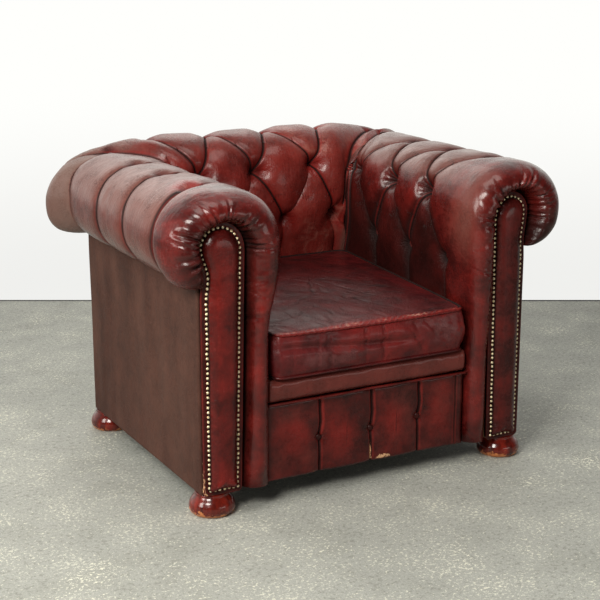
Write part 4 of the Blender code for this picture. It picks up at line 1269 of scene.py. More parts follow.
def even_loop(loop, count):
    """A closed loop resampled to equal steps."""
    closed = np.concatenate([loop, loop[:1]])
    length = np.concatenate([[0], np.cumsum(np.linalg.norm(np.diff(closed, axis=0), axis=1))])
    wanted = np.linspace(0, length[-1], count, endpoint=False)
    return np.stack([np.interp(wanted, length, closed[:, k]) for k in (0, 1)], 1)


NAIL_INSET = 0.0113
NAIL_PITCH = 0.0116
NAIL_RADIUS = 0.0035
# How bright and how rubbed the pad of each facing is; the right one is kept darker as painted shade.
FACING_LIGHT_AND_WEAR = {"left": (0.98, 0.55), "right": (0.66, 0.25)}
# Insets of the facing's rings from its edge, close together at the edge and round the nails.
FACING_INSETS = (0.0, 0.0006, 0.002, 0.004, 0.0066, 0.0086, 0.0100, 0.0113, 0.0126, 0.0140, 0.0158,
                 0.0182, 0.0212, 0.025, 0.030, 0.036)


def facing_spine(loop, shape):
    """The line that a facing's pad rises to: half-way across at the height of each outline point."""
    z = np.clip(loop[:, 1], UNDERSIDE + 0.042, shape["wide"] - 0.006)
    u = (z - UNDERSIDE) / (ROLL_SPRING - UNDERSIDE)
    inner_x = shape["inner"][0] + (shape["inner"][1] - shape["inner"][0]) * u
    outer_x = np.interp(z, [0.0, OUTER_TOP, shape["neck"][1], shape["wide"]],
                        [shape["outer"], shape["outer"], shape["neck"][0],
                         shape["mid"] * 2 - shape["inner"][1]])
    return np.stack([(inner_x + outer_x) / 2, z], 1)


def facing_depth(inset, around, length, nails):
    """Depth of a facing's leather at each inset from its edge.

    The edge rolls forward by a square root, the row of nails presses a bell-shaped furrow, and the
    pad rises past it, steeply by an exponential and then by a power law. Past each nail the
    leather puckers, by a cosine and a soft noise along the edge.
    """
    pull = 0.5 + 0.5 * np.cos(2 * math.pi * nails * around)
    puckers = cloud(np.stack([around * length + 0 * inset, 0 * inset, 0 * inset], -1), 0.012, 41)
    past_nails = np.clip(inset - NAIL_INSET, 0, None)
    pad = 0.0030 * (1 - np.exp(-past_nails / 0.002))
    pad += 0.0160 * (1 - np.clip(1 - past_nails / 0.025, 0, 1) ** 1.7)
    furrow = 0.0015 * bell(inset, NAIL_INSET, 0.0022)
    edge = 0.0022 * np.sqrt(np.clip(inset / 0.002, 0, 1)) - furrow
    fold = (0.0009 * pull + 0.0011 * puckers) * bell(inset, 0.0155, 0.0035)
    return -(pad + edge - fold - 0.0010)


def facing_shading(side, rings, depth):
    """Tone of a facing: dull at its edge, dark round the nails, polished and rubbed on the pad, less so on
    its head, and on the right one darker as painted shade; on the left one the hide shows low on the outer
    edge and at the foot."""
    polish_and_light, rubbed = FACING_LIGHT_AND_WEAR[side]
    # The pad's brightness; the right facing's is lower as painted shade.
    shade = 0.02 + polish_and_light * smooth((depth - NAIL_INSET) / 0.0055)
    shade = np.where(depth < NAIL_INSET - 0.004, 0.45, shade)
    head = smooth((rings[..., 2] - 0.50) / 0.10)
    rub = rubbed * smooth((depth - 0.019) / 0.014) * (1 - 0.35 * head) + 0.30 * cloud(rings, 0.09, 47, 2)
    from_nails = np.abs(depth - NAIL_INSET)
    crease = np.where(from_nails < 0.005, np.abs(depth - NAIL_INSET - 0.0015) + 0.0008, FAR)
    bare = np.zeros_like(depth)
    if side == "left":
        low_edge = smooth((0.32 - rings[..., 2]) / 0.25) * (rings[..., 0] > 0.41)
        bare = 0.46 * low_edge * bell(depth, 0, 0.004)
        bare += 0.45 * bell(depth, 0, 0.003) * smooth((0.075 - rings[..., 2]) / 0.02)
    return {"tone": np.stack([shade, rub, 0 * shade], -1).reshape(-1, 3),
            "tuft": np.stack([FAR + 0 * shade, FAR + 0 * shade, crease], -1).reshape(-1, 3),
            "bare": bare.ravel()}


def make_facing_pad(side, nails, length):
    """A facing's padded leather: rings from its back and its outline in to the spine."""
    shape = FACINGS[side]
    loop = outline_of(shape)
    count = len(loop)
    spine = facing_spine(loop, shape)
    to_spine = spine - loop
    width = np.linalg.norm(to_spine, axis=1, keepdims=True)
    shares = np.concatenate([np.array(FACING_INSETS)[None, :] / width, np.ones((count, 1))], 1)
    shares = np.minimum(shares, np.linspace(0.90, 1.0, shares.shape[1])[None, :])
    flat = loop[:, None] + to_spine[:, None] * shares[..., None]
    inset = shares * width
    around = np.linspace(0, 1, count, endpoint=False)[:, None]
    y = facing_depth(inset, around, length, nails)
    y[:, 0] = 0.004
    points = np.stack([flat[..., 0], y, flat[..., 1]], -1)
    points[..., 1] += 0.0010 * cloud(points, 0.05, 45) * (inset > 0.016)
    back = np.stack([loop[:, 0], np.full(count, 0.0095), loop[:, 1]], 1)
    rings = np.concatenate([back[:, None], points], 1)
    rings[:, -1] = np.stack([spine[:, 0], points[:, -1, 1], spine[:, 1]], 1)
    depth = np.concatenate([np.zeros((count, 1)), inset], 1)
    columns = rings.shape[1]
    faces = [tuple(face) for face in grid_quads(count + 1, columns) % (count * columns)]
    faces.append(tuple(k * columns for k in range(count)))
    piece = make_piece(f"padded_facing_{side}", rings.reshape(-1, 3) * side_flip(side), faces,
                       HIDES["facing"], facing_shading(side, rings, depth))
    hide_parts(f"facing_{side}")


def make_nails(side, nails):
    """A row of domed nails, each set a little off its place and its direction."""
    rng = np.random.default_rng(50)
    jitter = rng.normal(0, 0.00035, (nails, 2))
    head_mesh = dome(NAIL_RADIUS, 0.0030, 4, 10)
    heads = []
    for (x, z), (dx, dz) in zip(outline_of(FACINGS[side], NAIL_INSET, nails), jitter):
        heads.append(set_on(head_mesh, np.array([x + dx, -0.0018, z + dz]),
                            (40 * dx, -1.0, 40 * dz)))
    verts, faces = joined(heads)
    piece = make_piece(f"nails_{side}", verts * side_flip(side), faces, BRASS)
    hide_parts(f"nail_band_{side}")


def make_facing_piping(side):
    """The piping along a facing's edge, worn to the hide low down on the left."""
    edge = outline_of(FACINGS[side], 0.0008, 480)
    path = np.stack([edge[:, 0], np.full(len(edge), 0.0015), edge[:, 1]], 1) * side_flip(side)
    verts, faces = tube(path, 0.0027, closed=True)
    low_wear = smooth((0.20 - verts[:, 2]) / 0.13) * (np.abs(verts[:, 0]) > 0.40) * (side == "left")
    shading = flat_shading(len(verts), 0.55, 0.45)
    shading["bare"] = 0.48 * low_wear
    make_piece(f"facing_piping_{side}", verts, faces, HIDES["facing"], shading)


def make_facing(side):
    """A facing's padded leather, its row of nails and its piped edge."""
    loop = outline_of(FACINGS[side])
    length = np.linalg.norm(np.diff(np.concatenate([loop, loop[:1]]), axis=0), axis=1).sum()
    nails = int(round(length / NAIL_PITCH))
    make_facing_pad(side, nails, length)
    make_nails(side, nails)
    make_facing_piping(side)


# ---- panels, apron and lip ----
def wrapped_slab(low, high, face_axis, face_side, relief, rows=60, columns=80, soft=0.006):
    """A slab between two corners whose show face has a relief and edges that roll over.

    The face is a grid; near its rim it falls back as a quarter circle of radius soft. Rows and
    columns crowd towards the rim. relief(a, b) adds height; the hidden face is flat. Returns both
    grids.
    """
    low, high = np.array(low, float), np.array(high, float)
    axes = [k for k in range(3) if k != face_axis]
    share_a, share_b = gathered(columns, 2.2), gathered(rows, 2.2)
    a = low[axes[0]] + (high[axes[0]] - low[axes[0]]) * share_a
    b = low[axes[1]] + (high[axes[1]] - low[axes[1]]) * share_b
    grid_b, grid_a = np.meshgrid(b, a, indexing="ij")
    rim = np.minimum.reduce([grid_a - low[axes[0]], high[axes[0]] - grid_a,
                             grid_b - low[axes[1]], high[axes[1]] - grid_b])
    fall = 1 - np.clip(rim / soft, 0, 1)
    drop = soft * (1 - np.sqrt(np.clip(1 - fall ** 2, 0, 1)))
    height = relief(grid_a, grid_b) * smooth(rim / soft) - drop
    top = high[face_axis] if face_side > 0 else low[face_axis]
    base = low[face_axis] if face_side > 0 else high[face_axis]
    outer = np.zeros(grid_a.shape + (3,))
    outer[..., axes[0]], outer[..., axes[1]] = grid_a, grid_b
    inner = outer.copy()
    outer[..., face_axis] = top + face_side * height
    inner[..., face_axis] = base
    return outer, inner


def node_box(name):
    """A CAD node's corners, its depths measured from the facings' plane."""
    low, high = (np.array(v, float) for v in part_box(name))
    return low - (0, FACE_Y, 0), high - (0, FACE_Y, 0)


def make_panels():
    """Outside panels of the arms and the back: taut leather over boards, slightly wavy."""
    for name in ("outside_arm_left", "outside_arm_right", "outside_back"):
        low, high = node_box(name)
        axis = 1 if name == "outside_back" else 0
        sign = -1 if name == "outside_arm_left" else 1
        if axis == 0:
            high[2] += 0.006

        def relief(a, b, seed=len(name) + axis):
            """Slight waves, longer up and down than across."""
            flat = np.stack([a, 0.25 * b, 0 * a], -1)
            return 0.0016 * cloud(flat, 0.06, seed) + 0.0006 * cloud(flat, 0.02, seed + 1) - 0.0005

        outer, inner = wrapped_slab(low, high, axis, sign, relief)
        verts, faces = closed_shell(outer, inner)
        zero = np.zeros(outer.shape[:2])
        streak = cloud(np.stack([outer[..., 1 - axis], 0.2 * outer[..., 2], zero], -1), 0.05, 71, 2)
        tone = np.stack([0.45 + 0.12 * streak, 0.12 + 0.10 * streak, 0.55 + 0.12 * streak], -1)
        shading = shell_shading(tone, np.full(outer.shape[:2] + (2,), FAR), zero + FAR, zero)
        piece = make_piece("leather_" + name, verts, faces, HIDES["panel"], shading)
        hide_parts(name)


def apron_shading(skin, way, crease, lip, rim, spacing):
    """Tone of the apron: painted light and rub swell half-way between the buttons as a cosine and fall off
    near the edge as painted shade, with soft noise; three small places near the foot are worn to the hide."""
    x, z = skin[..., 0], skin[..., 2]
    flat = np.stack([x, 0 * x, z], -1)
    panels = np.cos(2 * math.pi * x / spacing)
    # Painted light in the middle of each pillow, with rub, falling to painted shade near the edge.
    lit_and_rubbed = (0.5 - 0.5 * panels) * smooth(rim / 0.09)
    shade = 0.68 + 0.25 * lit_and_rubbed + 0.25 * cloud(flat, 0.09, 84, 3)
    rub = 0.32 + 0.36 * lit_and_rubbed + 0.30 * cloud(flat, 0.07, 85, 3) + 0.3 * lip
    fade = 0.18 + 0.20 * cloud(flat, 0.05, 86, 2)
    worn = np.zeros_like(x)
    for amount, x0, reach_x, z0, reach_z in ((0.75, 0.009, 0.0030, 0.080, 0.030),
                                             (0.75, 0.040, 0.026, 0.060, 0.008),
                                             (0.9, -0.143, 0.003, 0.057, 0.004)):
        worn += amount * patch(x, x0, reach_x, z, z0, reach_z)
    return shell_shading(np.stack([shade, rub, fade], -1), way, crease, worn)


def make_apron():
    """The apron: a padded panel with three buttons, a pleat above and below each, and a seam.

    It is a pillow between the pleats, a power of the distance to each, with a groove at each pleat
    and the seam, a lip beside each pleat, a well at each button and an edge that rolls over.
    """
    low, high = node_box("front_apron")
    bottom, top = low[2], high[2]
    buttons = []
    for k, slip in ((1, (0.005, -0.005)), (2, (0.009, -0.006)), (3, (0.006, 0.0))):
        corner_low, corner_high = node_box(f"button_apron_{k}")
        middle = (corner_low + corner_high) / 2
        buttons.append((middle[0] + slip[0], middle[2] + slip[1]))
    lines = []
    for x, z in buttons:
        lines.append([(x, z + 0.004), (x + 0.003, z + 0.04), (x, top)])
        lines.append([(x, bottom), (x + 0.001, z - 0.004)])
    seam = [[(high[0] - 0.026, bottom), (high[0] - 0.024, top)]]
    stops = [low[0]] + [x for x, _ in buttons] + [high[0]]
    width = [start + (stop - start) * gathered(count, 1.9)[:-1]
             for start, stop, count in zip(stops, stops[1:], (26, 34, 34))]
    width.append(stops[-2] + (stops[-1] - stops[-2]) * gathered(34, 1.9))
    height = bottom + (top - bottom) * gathered(70, 1.4)
    z, x = np.meshgrid(height, np.concatenate(width), indexing="ij")
    signed = to_segments(x, z, lines)
    seam_gap = np.abs(to_segments(x, z, seam)[0])
    open_share = np.ones_like(x)
    lip = np.zeros_like(x)
    for way_off in signed:
        pull = np.clip(1 - np.abs(way_off) / 0.055, 0, 1)
        open_share = open_share * (1 - 0.8 * (0.75 * pull ** 2.2 + 0.25 * pull ** 8))
        lip = np.maximum(lip, bell(way_off, -0.0065, 0.0035) * (z > 0.14))
    nearest = np.minimum.reduce([np.abs(way_off) for way_off in signed])
    depth = 0.0095 * (1 - open_share) + 0.003 * np.exp(-(nearest / 0.0025) ** 1.5) - 0.0022 * lip
    depth += 0.0015 * bell(seam_gap, 0, 0.0018)
    way = np.full(x.shape + (2,), FAR)
    for x0, z0 in buttons:
        away = np.stack([x - x0, z - z0], -1)
        r = np.linalg.norm(away, axis=-1)
        depth += 0.0060 * np.clip(1 - r / 0.034, 0, 1) ** 2.2
        way = np.where((r < np.linalg.norm(way, axis=-1))[..., None], away, way)
    rim = np.minimum.reduce([x - low[0], high[0] - x, z - low[2], high[2] - z])
    depth += 0.010 * (1 - np.sqrt(1 - (1 - np.clip(rim / 0.010, 0, 1)) ** 2))
    flat = np.stack([x, 0 * x, z], -1)
    depth = depth + 0.0014 * cloud(flat, 0.05, 81) + 0.0006 * cloud(flat, 0.018, 82) - 0.004
    skin = np.stack([x, low[1] + depth, z], -1)
    verts, faces = closed_shell(skin, np.stack([x, 0 * x + high[1], z], -1))
    crease = np.minimum(nearest, seam_gap + 0.0014)
    shading = apron_shading(skin, way, crease, lip, rim, buttons[1][0] - buttons[0][0])
    piece = make_piece("buttoned_apron", verts, faces, HIDES["facing"], shading)
    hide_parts("front_apron")
    places = [int(np.argmin((x - x0) ** 2 + (z - z0) ** 2)) for x0, z0 in buttons]
    SEATS["apron"] = [(skin.reshape(-1, 3)[k], np.array([0.0, -1.0, 0.0])) for k in places]


def bar_along_x(low, high, section, sag, count=120):
    """A soft bar: a closed section of depth and height points carried from side to side, drawn in to
    rounded ends by a quarter circle, and shifted by sag."""
    x = low + (high - low) * gathered(count, 1.6)
    ends = np.minimum(x - low, high - x)
    round_off = np.sqrt(1 - (1 - np.clip(ends / 0.010, 0, 1)) ** 2)
    centre = section.mean(0)
    rings = centre + (section - centre)[None] * (0.55 + 0.45 * round_off)[:, None, None]
    points = np.concatenate([np.broadcast_to(x[:, None, None], rings.shape[:2] + (1,)), rings], -1)
    points = points + sag(points)
    return capped(points, points[0].mean(0)[None], points[-1].mean(0)[None])


def superellipse(count, power):
    """Points of a closed unit superellipse, as across and up: powers of the cosine and the sine."""
    angle = np.linspace(0, 2 * math.pi, count, endpoint=False)
    across = np.sign(np.cos(angle)) * np.abs(np.cos(angle)) ** (2 / power)
    up = np.sign(np.sin(angle)) * np.abs(np.sin(angle)) ** (2 / power)
    return np.stack([across, up], 1)


def rounded_section(low, high, power, sides=40):
    """Closed section between two corners in depth and height: a superellipse."""
    centre = (np.array(low) + np.array(high)) / 2
    half = (np.array(high) - np.array(low)) / 2
    return centre + half * superellipse(sides, power)


def make_lip():
    """The lip: a soft roll under the cushion, piped along its lower edge."""
    low, high = node_box("front_lip")

    def sag(points):
        """A slight unevenness of depth and height, by soft noise."""
        shift = np.zeros_like(points)
        shift[..., 1] = 0.0014 * cloud(points, 0.06, 91) + 0.0008 * cloud(points, 0.015, 92)
        shift[..., 2] = 0.0007 * cloud(points, 0.05, 93)
        return shift

    section = rounded_section((low[1] - 0.005, low[2] + 0.001), (high[1], high[2] + 0.0020), 3.6)
    verts, faces = bar_along_x(low[0], high[0], section, sag)
    shading = flat_shading(len(verts), 0.62, 0.60, 0.55)
    height = (verts[:, 2] - low[2]) / (high[2] - low[2])
    # Painted shade: darker towards the lip's top and bottom edges.
    shading["tone"][:, SHADE] = 0.30 + 0.6 * smooth(np.minimum(height, 1 - height) / 0.30)
    piece = make_piece("seat_lip", verts, faces, HIDES["facing"], shading)
    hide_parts("front_lip")
    x = np.linspace(low[0], high[0], 140)
    wave = cloud(np.stack([x, 0 * x, 0 * x], -1), 0.07, 95)
    path = np.stack([x, low[1] - 0.0015 + 0.0006 * wave, low[2] - 0.0005 + 0.0010 * wave], 1)
    verts, faces = tube(path, 0.0031)
    make_piece("lip_piping", verts, faces, HIDES["facing"],
               flat_shading(len(verts), 0.45, 0.5))


# ---- cushion ----
TOP_SEAM, BOTTOM_SEAM = 0.099, 0.010      # heights of the cushion's seams over its base


def cushion_layers(ring, half, low_z, border):
    """Closed rings from the middle of the cushion's top to the middle of its base, each with its
    distance from the seams and its kind.

    The top is the plan drawn in by shares and raised by a crown, a product of two power laws, and by
    a tilt that lifts the rear. The border swells as a half sine, with one wavy valley along the
    front. The base is flat and sags a little at the front.
    """
    top_seam = low_z + TOP_SEAM
    bottom_seam = low_z + BOTTOM_SEAM
    shares = np.concatenate([np.linspace(0.02, 0.80, 34), 1 - 0.20 * np.linspace(1, 0, 18)[1:] ** 1.3])
    ahead = -ring[:, 1] / half[1]
    front_hang = 0.010 * smooth(ahead / 0.6)

    def place(share, z):
        """The plan drawn in by a share, at a height."""
        return np.stack([ring[:, 0] * share, ring[:, 1] * share, z + 0 * ring[:, 0]], 1)

    def crown(points):
        """How far points of the top stand over the front of the upper seam."""
        x, y = points[:, 0] / half[0], points[:, 1] / half[1]
        bulge = (1 - np.abs(x) ** 2.4) * (1 - np.abs(y) ** 2.4)
        tilt = 0.022 * (points[:, 1] + half[1]) / (2 * half[1])
        tilt -= 0.004 * (1 - x ** 2) * np.clip(-y, 0, 1)
        return 0.017 * np.clip(bulge, 0, 1) ** 0.8 + tilt

    layers = []
    for share in shares:
        points = place(share, top_seam)
        points[:, 2] += crown(points)
        layers.append((points, np.full(len(ring), (1 - share) * min(half[:2])), "top"))
    fold = 0.40 + 0.10 * np.sin(ring[:, 0] * 9.0 + 0.8)
    for step in np.linspace(0, 1, 26)[1:-1]:
        points = place(1.0, top_seam + (bottom_seam - top_seam) * step)
        points[:, 2] += crown(points) * (1 - step)
        points[:, 2] -= 0.010 * step * smooth(ahead / 0.6)
        valley = bell(step, fold, 0.085) * smooth(ahead / 0.9)
        valley = valley * smooth((0.15 - ring[:, 0]) / 0.12) * smooth((ring[:, 0] + 0.26) / 0.06)
        swell = (0.013 * math.sin(math.pi * step) ** 0.7 - 0.0075 * valley)[:, None]
        points[:, :2] += swell * ring / np.linalg.norm(ring, axis=1, keepdims=True)
        layers.append((points, np.full(len(ring), min(step, 1 - step) * border), "border"))
    for share in shares[::-1][::3]:
        points = place(share, bottom_seam - 0.010 * smooth((1 - share) / 0.08))
        points[:, 2] -= front_hang * smooth((share - 0.85) / 0.15)
        layers.append((points, np.full(len(ring), FAR), "base"))
    return layers


def cushion_top(grid, from_seam, front_gap):
    """Relief of the cushion's top: sags of soft noise and two sets of slanted creases, and along the
    front edge a herringbone, a sine of slanted place. Returns height, creases, herringbone and its
    band."""
    x = grid[..., 0]
    herring = np.sin((x - front_gap * 1.1) * 2 * math.pi / 0.0150 + 2 * cloud(grid, 0.04, 103))
    band = bell(front_gap, 0.006, 0.011) * (np.abs(x) < 0.24)
    creases = ridge(turned_plan(grid, -0.25) * np.array([0.55, 2.6, 1.0]), 0.070, 105) * 0.0013
    creases += ridge(turned_plan(grid, 0.9) * np.array([0.6, 3.0, 1.0]), 0.080, 107) * 0.0011
    height = 0.0060 * cloud(grid, 0.16, 101) + 0.0012 * cloud(grid, 0.035, 102, 2) - creases
    return height * smooth(from_seam / 0.03) + 0.0022 * herring * band, creases, herring, band


def cushion_border(grid, from_seam, low_z):
    """Relief of the cushion's border: a slump of soft noise less three sets of ridges, broad, small
    and slanted ones. Returns the push outwards and the ridges."""
    x, y, z = (grid[..., k] for k in range(3))
    buckle = ridge(np.stack([x, y, 0.25 * z], -1), 0.045, 109) * 0.0045
    small = ridge(np.stack([x, y, 0.35 * z], -1), 0.017, 110) * 0.0020 * smooth((z - low_z - 0.05) / 0.03)
    slanted = ridge(np.stack([x + 0.9 * z, y, 0.4 * z], -1), 0.050, 112) * 0.0050 * smooth((x - 0.06) / 0.08)
    buckle = buckle + small + slanted
    slump = 0.006 * cloud(np.stack([x, y, z * 1.6], -1), 0.055, 111, 2)
    return (slump - buckle) * smooth(from_seam / 0.012), buckle


def make_cushion():
    """Loose seat cushion: a crowned box with sagging borders, creased top and two piped seams."""
    low, high = node_box("cushion_cover")
    middle = (low + high) / 2
    half = (high - low) / 2
    ring = even_loop(half[:2] * superellipse(400, 26.0), 400)
    narrow = 1.0 + 0.030 * ring[:, 1] / half[1]
    ring = ring * np.stack([narrow, np.ones_like(narrow)], 1)
    layers = cushion_layers(ring, half, low[2], high[2] - low[2] - 0.026)
    grid = np.stack([points for points, _, _ in layers])
    grid = grid + np.array([middle[0], middle[1], 0.0])
    from_seam = np.stack([gap for _, gap, _ in layers])
    kind = np.array([label for _, _, label in layers])
    rows, columns, _ = grid.shape
    top = (kind == "top")[:, None] & np.ones(columns, bool)[None]
    side = (kind == "border")[:, None] & np.ones(columns, bool)[None]
    front_gap = grid[..., 1] - (low[1] + 0.004)
    height, creases, herring, pleat = cushion_top(grid, from_seam, front_gap)
    grid[..., 2] = grid[..., 2] + np.where(top, height, 0.0)
    x, y, z = (grid[..., k] for k in range(3))
    push, buckle = cushion_border(grid, from_seam, low[2])
    normal = np.stack([x - middle[0], y - middle[1], 0 * z], -1)
    normal = normal / np.maximum(np.linalg.norm(normal, axis=-1, keepdims=True), 1e-9)
    grid = grid + np.where(side, push, 0.0)[..., None] * normal
    hang = 0.010 * smooth((low[1] + 0.10 - y) / 0.10)
    grid[..., 2] = np.maximum(grid[..., 2], low[2] - hang)
    verts, faces = capped(grid, grid[0].mean(0)[None], grid[-1].mean(0)[None])

    front = side & (y < middle[1] - 0.8 * half[1])
    shade = np.where(top, 0.62 + 0.2 * cloud(grid, 0.12, 113, 2), 0.60 + 0.3 * cloud(grid, 0.05, 114, 2))
    # Painted shade in the top's creases and the border's ridges.
    shade -= 0.25 * creases / 0.0013 * top
    shade = np.where(front, 0.80 + 0.3 * cloud(grid, 0.05, 114, 2) - 32.0 * buckle, shade)
    rub = np.where(top, 0.05 + 0.25 * cloud(grid, 0.10, 115, 2) + 0.9 * pleat, 0.45)
    rub = np.where(front, 0.30 + 0.28 * smooth((x + 0.15) / 0.1) + 0.42 * cloud(grid, 0.05, 117, 3), rub)
    forward = smooth((middle[1] - y) / half[1])
    fade = np.where(top, (0.05 + 0.25 * cloud(grid, 0.14, 119, 2) + 0.40 * forward) * (1 - pleat), 0.0)
    fade += np.where(top, 1.3 * pleat * smooth((herring - 0.6) / 0.3), 0.0)
    # Scuffs on the front border, partly painted highlights.
    scuffs_and_highlights = patch(x, -0.10, 0.07, z - low[2], 0.034, 0.014)
    scuffs_and_highlights += patch(x, 0.20, 0.035, z - low[2], 0.060, 0.030)
    scuffed_and_lit = 0.32 + 2.4 * scuffs_and_highlights * smooth(cloud(grid, 0.010, 121, 3) + 0.45)
    fade = np.where(front, np.minimum(scuffed_and_lit, 1.2), fade)
    crease = np.where(top | side, np.abs(from_seam) + 0.002, FAR)
    stitch = np.where(top, 0.52 * pleat * smooth((herring - 0.86) / 0.10), 0.0)

    def with_poles(values):
        """Values of the grid's points and, after them, two more for the middle points."""
        values = values.reshape(rows * columns, -1)
        return np.concatenate([values, values[:2]])

    shading = {"tone": with_poles(np.stack([shade, rub, fade], -1)),
               "tuft": with_poles(np.stack([0 * x + FAR, 0 * x + FAR, crease], -1)),
               "bare": with_poles(stitch)}
    piece = make_piece("seat_cushion", verts, faces, HIDES["seat"], shading)
    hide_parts("cushion_cover", "cushion_core")
    last_top = int(np.sum(kind == "top")) - 1
    first_base = int(np.sum(kind != "base"))
    for label, row, rubbed in (("upper", last_top, 0.62), ("lower", first_base, 0.40)):
        make_cushion_piping(label, grid[row], middle, low[1], rubbed)


def make_cushion_piping(label, loop, middle, front_y, rubbed):
    """Piping along a seam of the cushion, darker away from the front."""
    out = loop - np.array([middle[0], middle[1], 0.0])
    out[:, 2] = 0
    out /= np.linalg.norm(out, axis=1, keepdims=True)
    verts, faces = tube(loop + 0.0022 * out, 0.0033, closed=True)
    shading = flat_shading(len(verts), 0.55, rubbed)
    ahead = smooth((front_y + 0.02 - verts[:, 1]) / 0.02)
    shading["tone"][:, :2] *= (0.25 + 0.75 * ahead)[:, None]
    make_piece(f"cushion_piping_{label}", verts, faces, HIDES["seat"], shading)


def ridge(points, size, seed):
    """Narrow ridges from 0 to 1 where soft noise crosses its middle."""
    return np.clip(1 - np.abs(cloud(points, size, seed)) / 0.10, 0, 1) ** 1.5


def turned_plan(points, angle):
    """Points turned about the vertical."""
    x, y = points[..., 0], points[..., 1]
    return np.stack([x * math.cos(angle) - y * math.sin(angle),
                     x * math.sin(angle) + y * math.cos(angle), points[..., 2]], -1)


# ---- feet ----
FOOT_PROFILE = ((0.0, 0.0), (0.0405, 0.0), (0.0450, 0.0012), (0.0495, 0.006), (0.0520, 0.012),
                (0.0525, 0.018), (0.0510, 0.026), (0.0465, 0.035), (0.0410, 0.0415), (0.0385, 0.0450),
                (0.0385, 0.0490), (0.037, 0.0506), (0.0, 0.0506))


def make_feet():
    """Turned bun feet: a profile filled in straight between its points and spun about the foot's middle."""
    profile = np.array(FOOT_PROFILE)
    finish = polished_wood("polished mahogany")
    for name in ("foot_front_left", "foot_front_right", "foot_back_left", "foot_back_right"):
        low, high = node_box(name)
        middle = (low + high) / 2 * np.array([0.978, 1.0, 1.0])
        t = np.arange(len(profile))
        fine = np.linspace(0, len(profile) - 1, 4 * len(profile))
        radius, height = (np.interp(fine, t, profile[:, k]) for k in (0, 1))
        angle = np.linspace(0, 2 * math.pi, 48, endpoint=False)
        rings = np.stack([middle[0] + radius[:, None] * np.cos(angle),
                          middle[1] + radius[:, None] * np.sin(angle),
                          height[:, None] + 0 * angle[None]], -1)
        piece = make_piece("bun_" + name, rings.reshape(-1, 3),
                           grid_quads(len(fine), 48, wrap=True), finish)
        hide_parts(name)


# ---- what stays from the CAD ----
def finish_frame_parts():
    """Procedural finishes for the hidden frame, springs and cloths that keep their CAD shape."""
    finishes = {"rail": raw_wood("planed beech"), "spring": spring_wire("spring steel"),
                "dust": woven_cloth("black dust cloth", (0.030, 0.030, 0.032), (0.008, 0.008, 0.008)),
                "platform": woven_cloth("seat platform cloth", (0.10, 0.03, 0.03), (0.03, 0.01, 0.01))}
    finishes["board"] = finishes["post"] = finishes["rail"]
    for name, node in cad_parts.items():
        for word, finish in finishes.items():
            if word in name:
                for slot in node.material_slots:
                    slot.material = finish


# ---- floor, light and camera ----
LAMP_AIM = Vector((0.0, 0.0, 0.45))
# Lamps: name, place, size and power in watts.
LAMPS = (("window", (-2.8, -0.6, 1.60), (0.8, 1.3), 44.0),
         ("front", (-1.8, -1.6, 1.80), (0.8, 0.9), 62.0),
         ("overhead", (-0.2, -0.7, 2.60), (1.5, 1.1), 24.0),
         ("behind", (0.0, 2.0, 2.30), (2.6, 1.5), 16.0),
         ("low", (0.9, -2.6, 0.55), (1.6, 0.5), 8.0))
CAMERA = np.array([-1.572, -2.5823, 1.2401])
CAMERA_TURN = (math.radians(90 - 14.72), 0.0, math.radians(-28.22))
LENS = 82.67
FLOOR_END = 1.357        # where the floor ends, ahead of the chair's middle along the view


def staged_quad(name, corners, material):
    """A flat four-cornered piece of the surroundings."""
    data = bpy.data.meshes.new(name)
    data.from_pydata([tuple(c) for c in corners], [], [(0, 1, 2, 3)])
    data.materials.append(material)
    quad = bpy.data.objects.new(name, data)
    bpy.context.scene.collection.objects.link(quad)


def make_floor():
    """Pale grey floor, speckled and stained, that ends in a low dark strip, a painted shadow where a wall
    would stand.
    """
    made = Finish("pale concrete", roughness=0.7)
    clusters = made.noise(7.0, 3.0, 0.6)
    specks = made.fade(made.noise(130.0, 4.0, 0.8) + 0.28 * (clusters - 0.5), 0.575, 0.62)
    dark = made.fade(made.noise(90.0, 4.0, 0.8) - 0.25 * (clusters - 0.5), 0.55, 0.62)
    broad = made.noise(1.6, 4.0, 0.6)
    stain = made.fade(made.noise(4.5, 5.0, 0.65, warp=0.8), 0.50, 0.68)
    grit = made.noise(240.0, 3.0, 0.7)
    colour = made.mix(broad + 2.8 * (grit - 0.5), (0.250, 0.258, 0.235), (0.355, 0.363, 0.330))
    colour = made.mix(stain * 0.25, colour, (0.19, 0.195, 0.165))
    colour = made.mix(specks * (0.70 + 0.3 * stain), colour, (0.74, 0.73, 0.60))
    colour = made.mix(dark * 0.60, colour, (0.14, 0.14, 0.122))
    made.put(base_color=colour)
    turn = CAMERA_TURN[2]
    right = np.array([math.cos(turn), math.sin(turn), 0.0])
    ahead = np.array([-math.sin(turn), math.cos(turn), 0.0])
    near, wide = -6.0, 9.0
    corners = [ahead * near - right * wide, ahead * near + right * wide,
               ahead * FLOOR_END + right * wide, ahead * FLOOR_END - right * wide]
    staged_quad("floor", corners, made.material)
    # Painted shadow: a thin dark strip stands in for the shade at the foot of a wall.
    gap = Finish("painted shadow at the wall base", roughness=0.9)
    gap.put(base_color=gap.mix(gap.noise(8.0), (0.03, 0.03, 0.027), (0.07, 0.07, 0.065)))
    shadow_height = np.array([0.0, 0.0, 0.0035])
    staged_quad("wall_base_shadow", corners[3:1:-1] + [c + shadow_height for c in corners[2:]], gap.material)


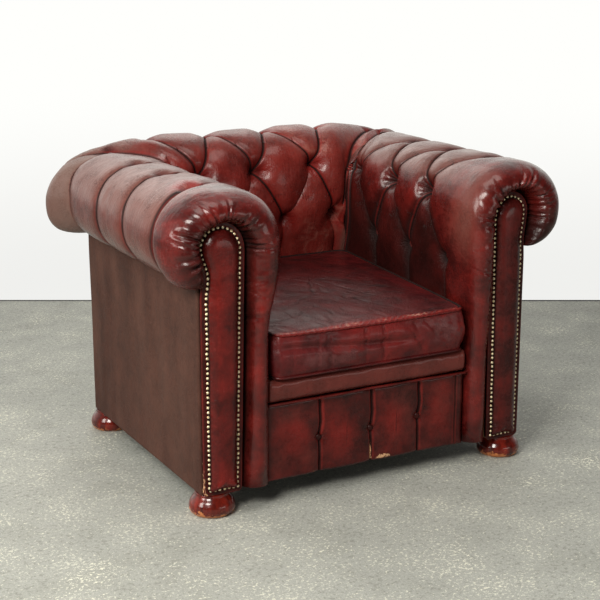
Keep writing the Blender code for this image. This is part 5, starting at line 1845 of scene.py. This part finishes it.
def make_lights():
    """Surroundings like a white studio that is dim on the camera's side and below, and soft lamps.

    The background itself shows as plain near-white.
    """
    world = bpy.data.worlds.new("studio")
    bpy.context.scene.world = world
    world.use_nodes = True
    world.node_tree.nodes.clear()
    made = NodeMaker(world.node_tree)
    towards = made.node("ShaderNodeTexCoord", {}, {}, out="Generated")
    _, _, up = made.parts(towards)
    back = made.node("ShaderNodeVectorMath", {"operation": "DOT_PRODUCT"},
                     {0: towards, 1: (math.sin(-CAMERA_TURN[2]) - 0.35, math.cos(CAMERA_TURN[2]), 0.0)},
                     out="Value")
    level = made.fade(back, -0.30, 0.8, 0.06, 1.15) * made.fade(up, -0.12, 0.02, 0.35, 1.0)
    light = made.node("ShaderNodeBackground", {}, {0: (1.0, 0.985, 0.93, 1.0), 1: level})
    seen = made.node("ShaderNodeBackground", {},
                     {0: (1.0, 1.0, 0.975, 1.0), 1: made.fade(up, -0.24, -0.10, 0.87, 1.0)})
    camera_ray = made.node("ShaderNodeLightPath", {}, {}, out="Is Camera Ray")
    mixed = made.node("ShaderNodeMixShader", {}, {0: camera_ray, 1: light, 2: seen})
    made.node("ShaderNodeOutputWorld", {}, {0: mixed})
    for name, place, size, power in LAMPS:
        data = bpy.data.lights.new(name, "AREA")
        data.shape = "RECTANGLE"
        data.size, data.size_y = size
        data.energy = power
        data.color = (1.0, 0.965, 0.90)
        lamp = bpy.data.objects.new(name, data)
        lamp.location = place
        aim = LAMP_AIM - Vector(place)
        lamp.rotation_euler = aim.to_track_quat("-Z", "Y").to_euler()
        lamp.visible_camera = False
        bpy.context.scene.collection.objects.link(lamp)


def make_camera():
    """Camera to the left of the front, looking down a little."""
    data = bpy.data.cameras.new("camera")
    data.lens = LENS
    data.sensor_width = 36.0
    camera = bpy.data.objects.new("camera", data)
    camera.location = CAMERA + (0.0, FACE_Y, 0.0)
    camera.rotation_euler = CAMERA_TURN
    bpy.context.scene.collection.objects.link(camera)
    bpy.context.scene.camera = camera


bpy.context.scene.view_settings.view_transform = "Standard"
make_camera()
make_lights()
make_floor()
for arm_side in ("left", "right"):
    make_arm(arm_side)
    make_facing(arm_side)
make_back()
make_panels()
make_apron()
make_lip()
make_cushion()
make_feet()
for label in ("left", "right"):
    make_buttons(f"arm_buttons_{label}", SEATS[label],
                 [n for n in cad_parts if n.startswith(f"button_arm_{label}")])
make_buttons("back_buttons", SEATS["back"], [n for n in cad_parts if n.startswith("button_back")])
make_buttons("apron_buttons", SEATS["apron"], [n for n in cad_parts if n.startswith("button_apron")],
             radius=0.0082, height=0.006)
finish_frame_parts()
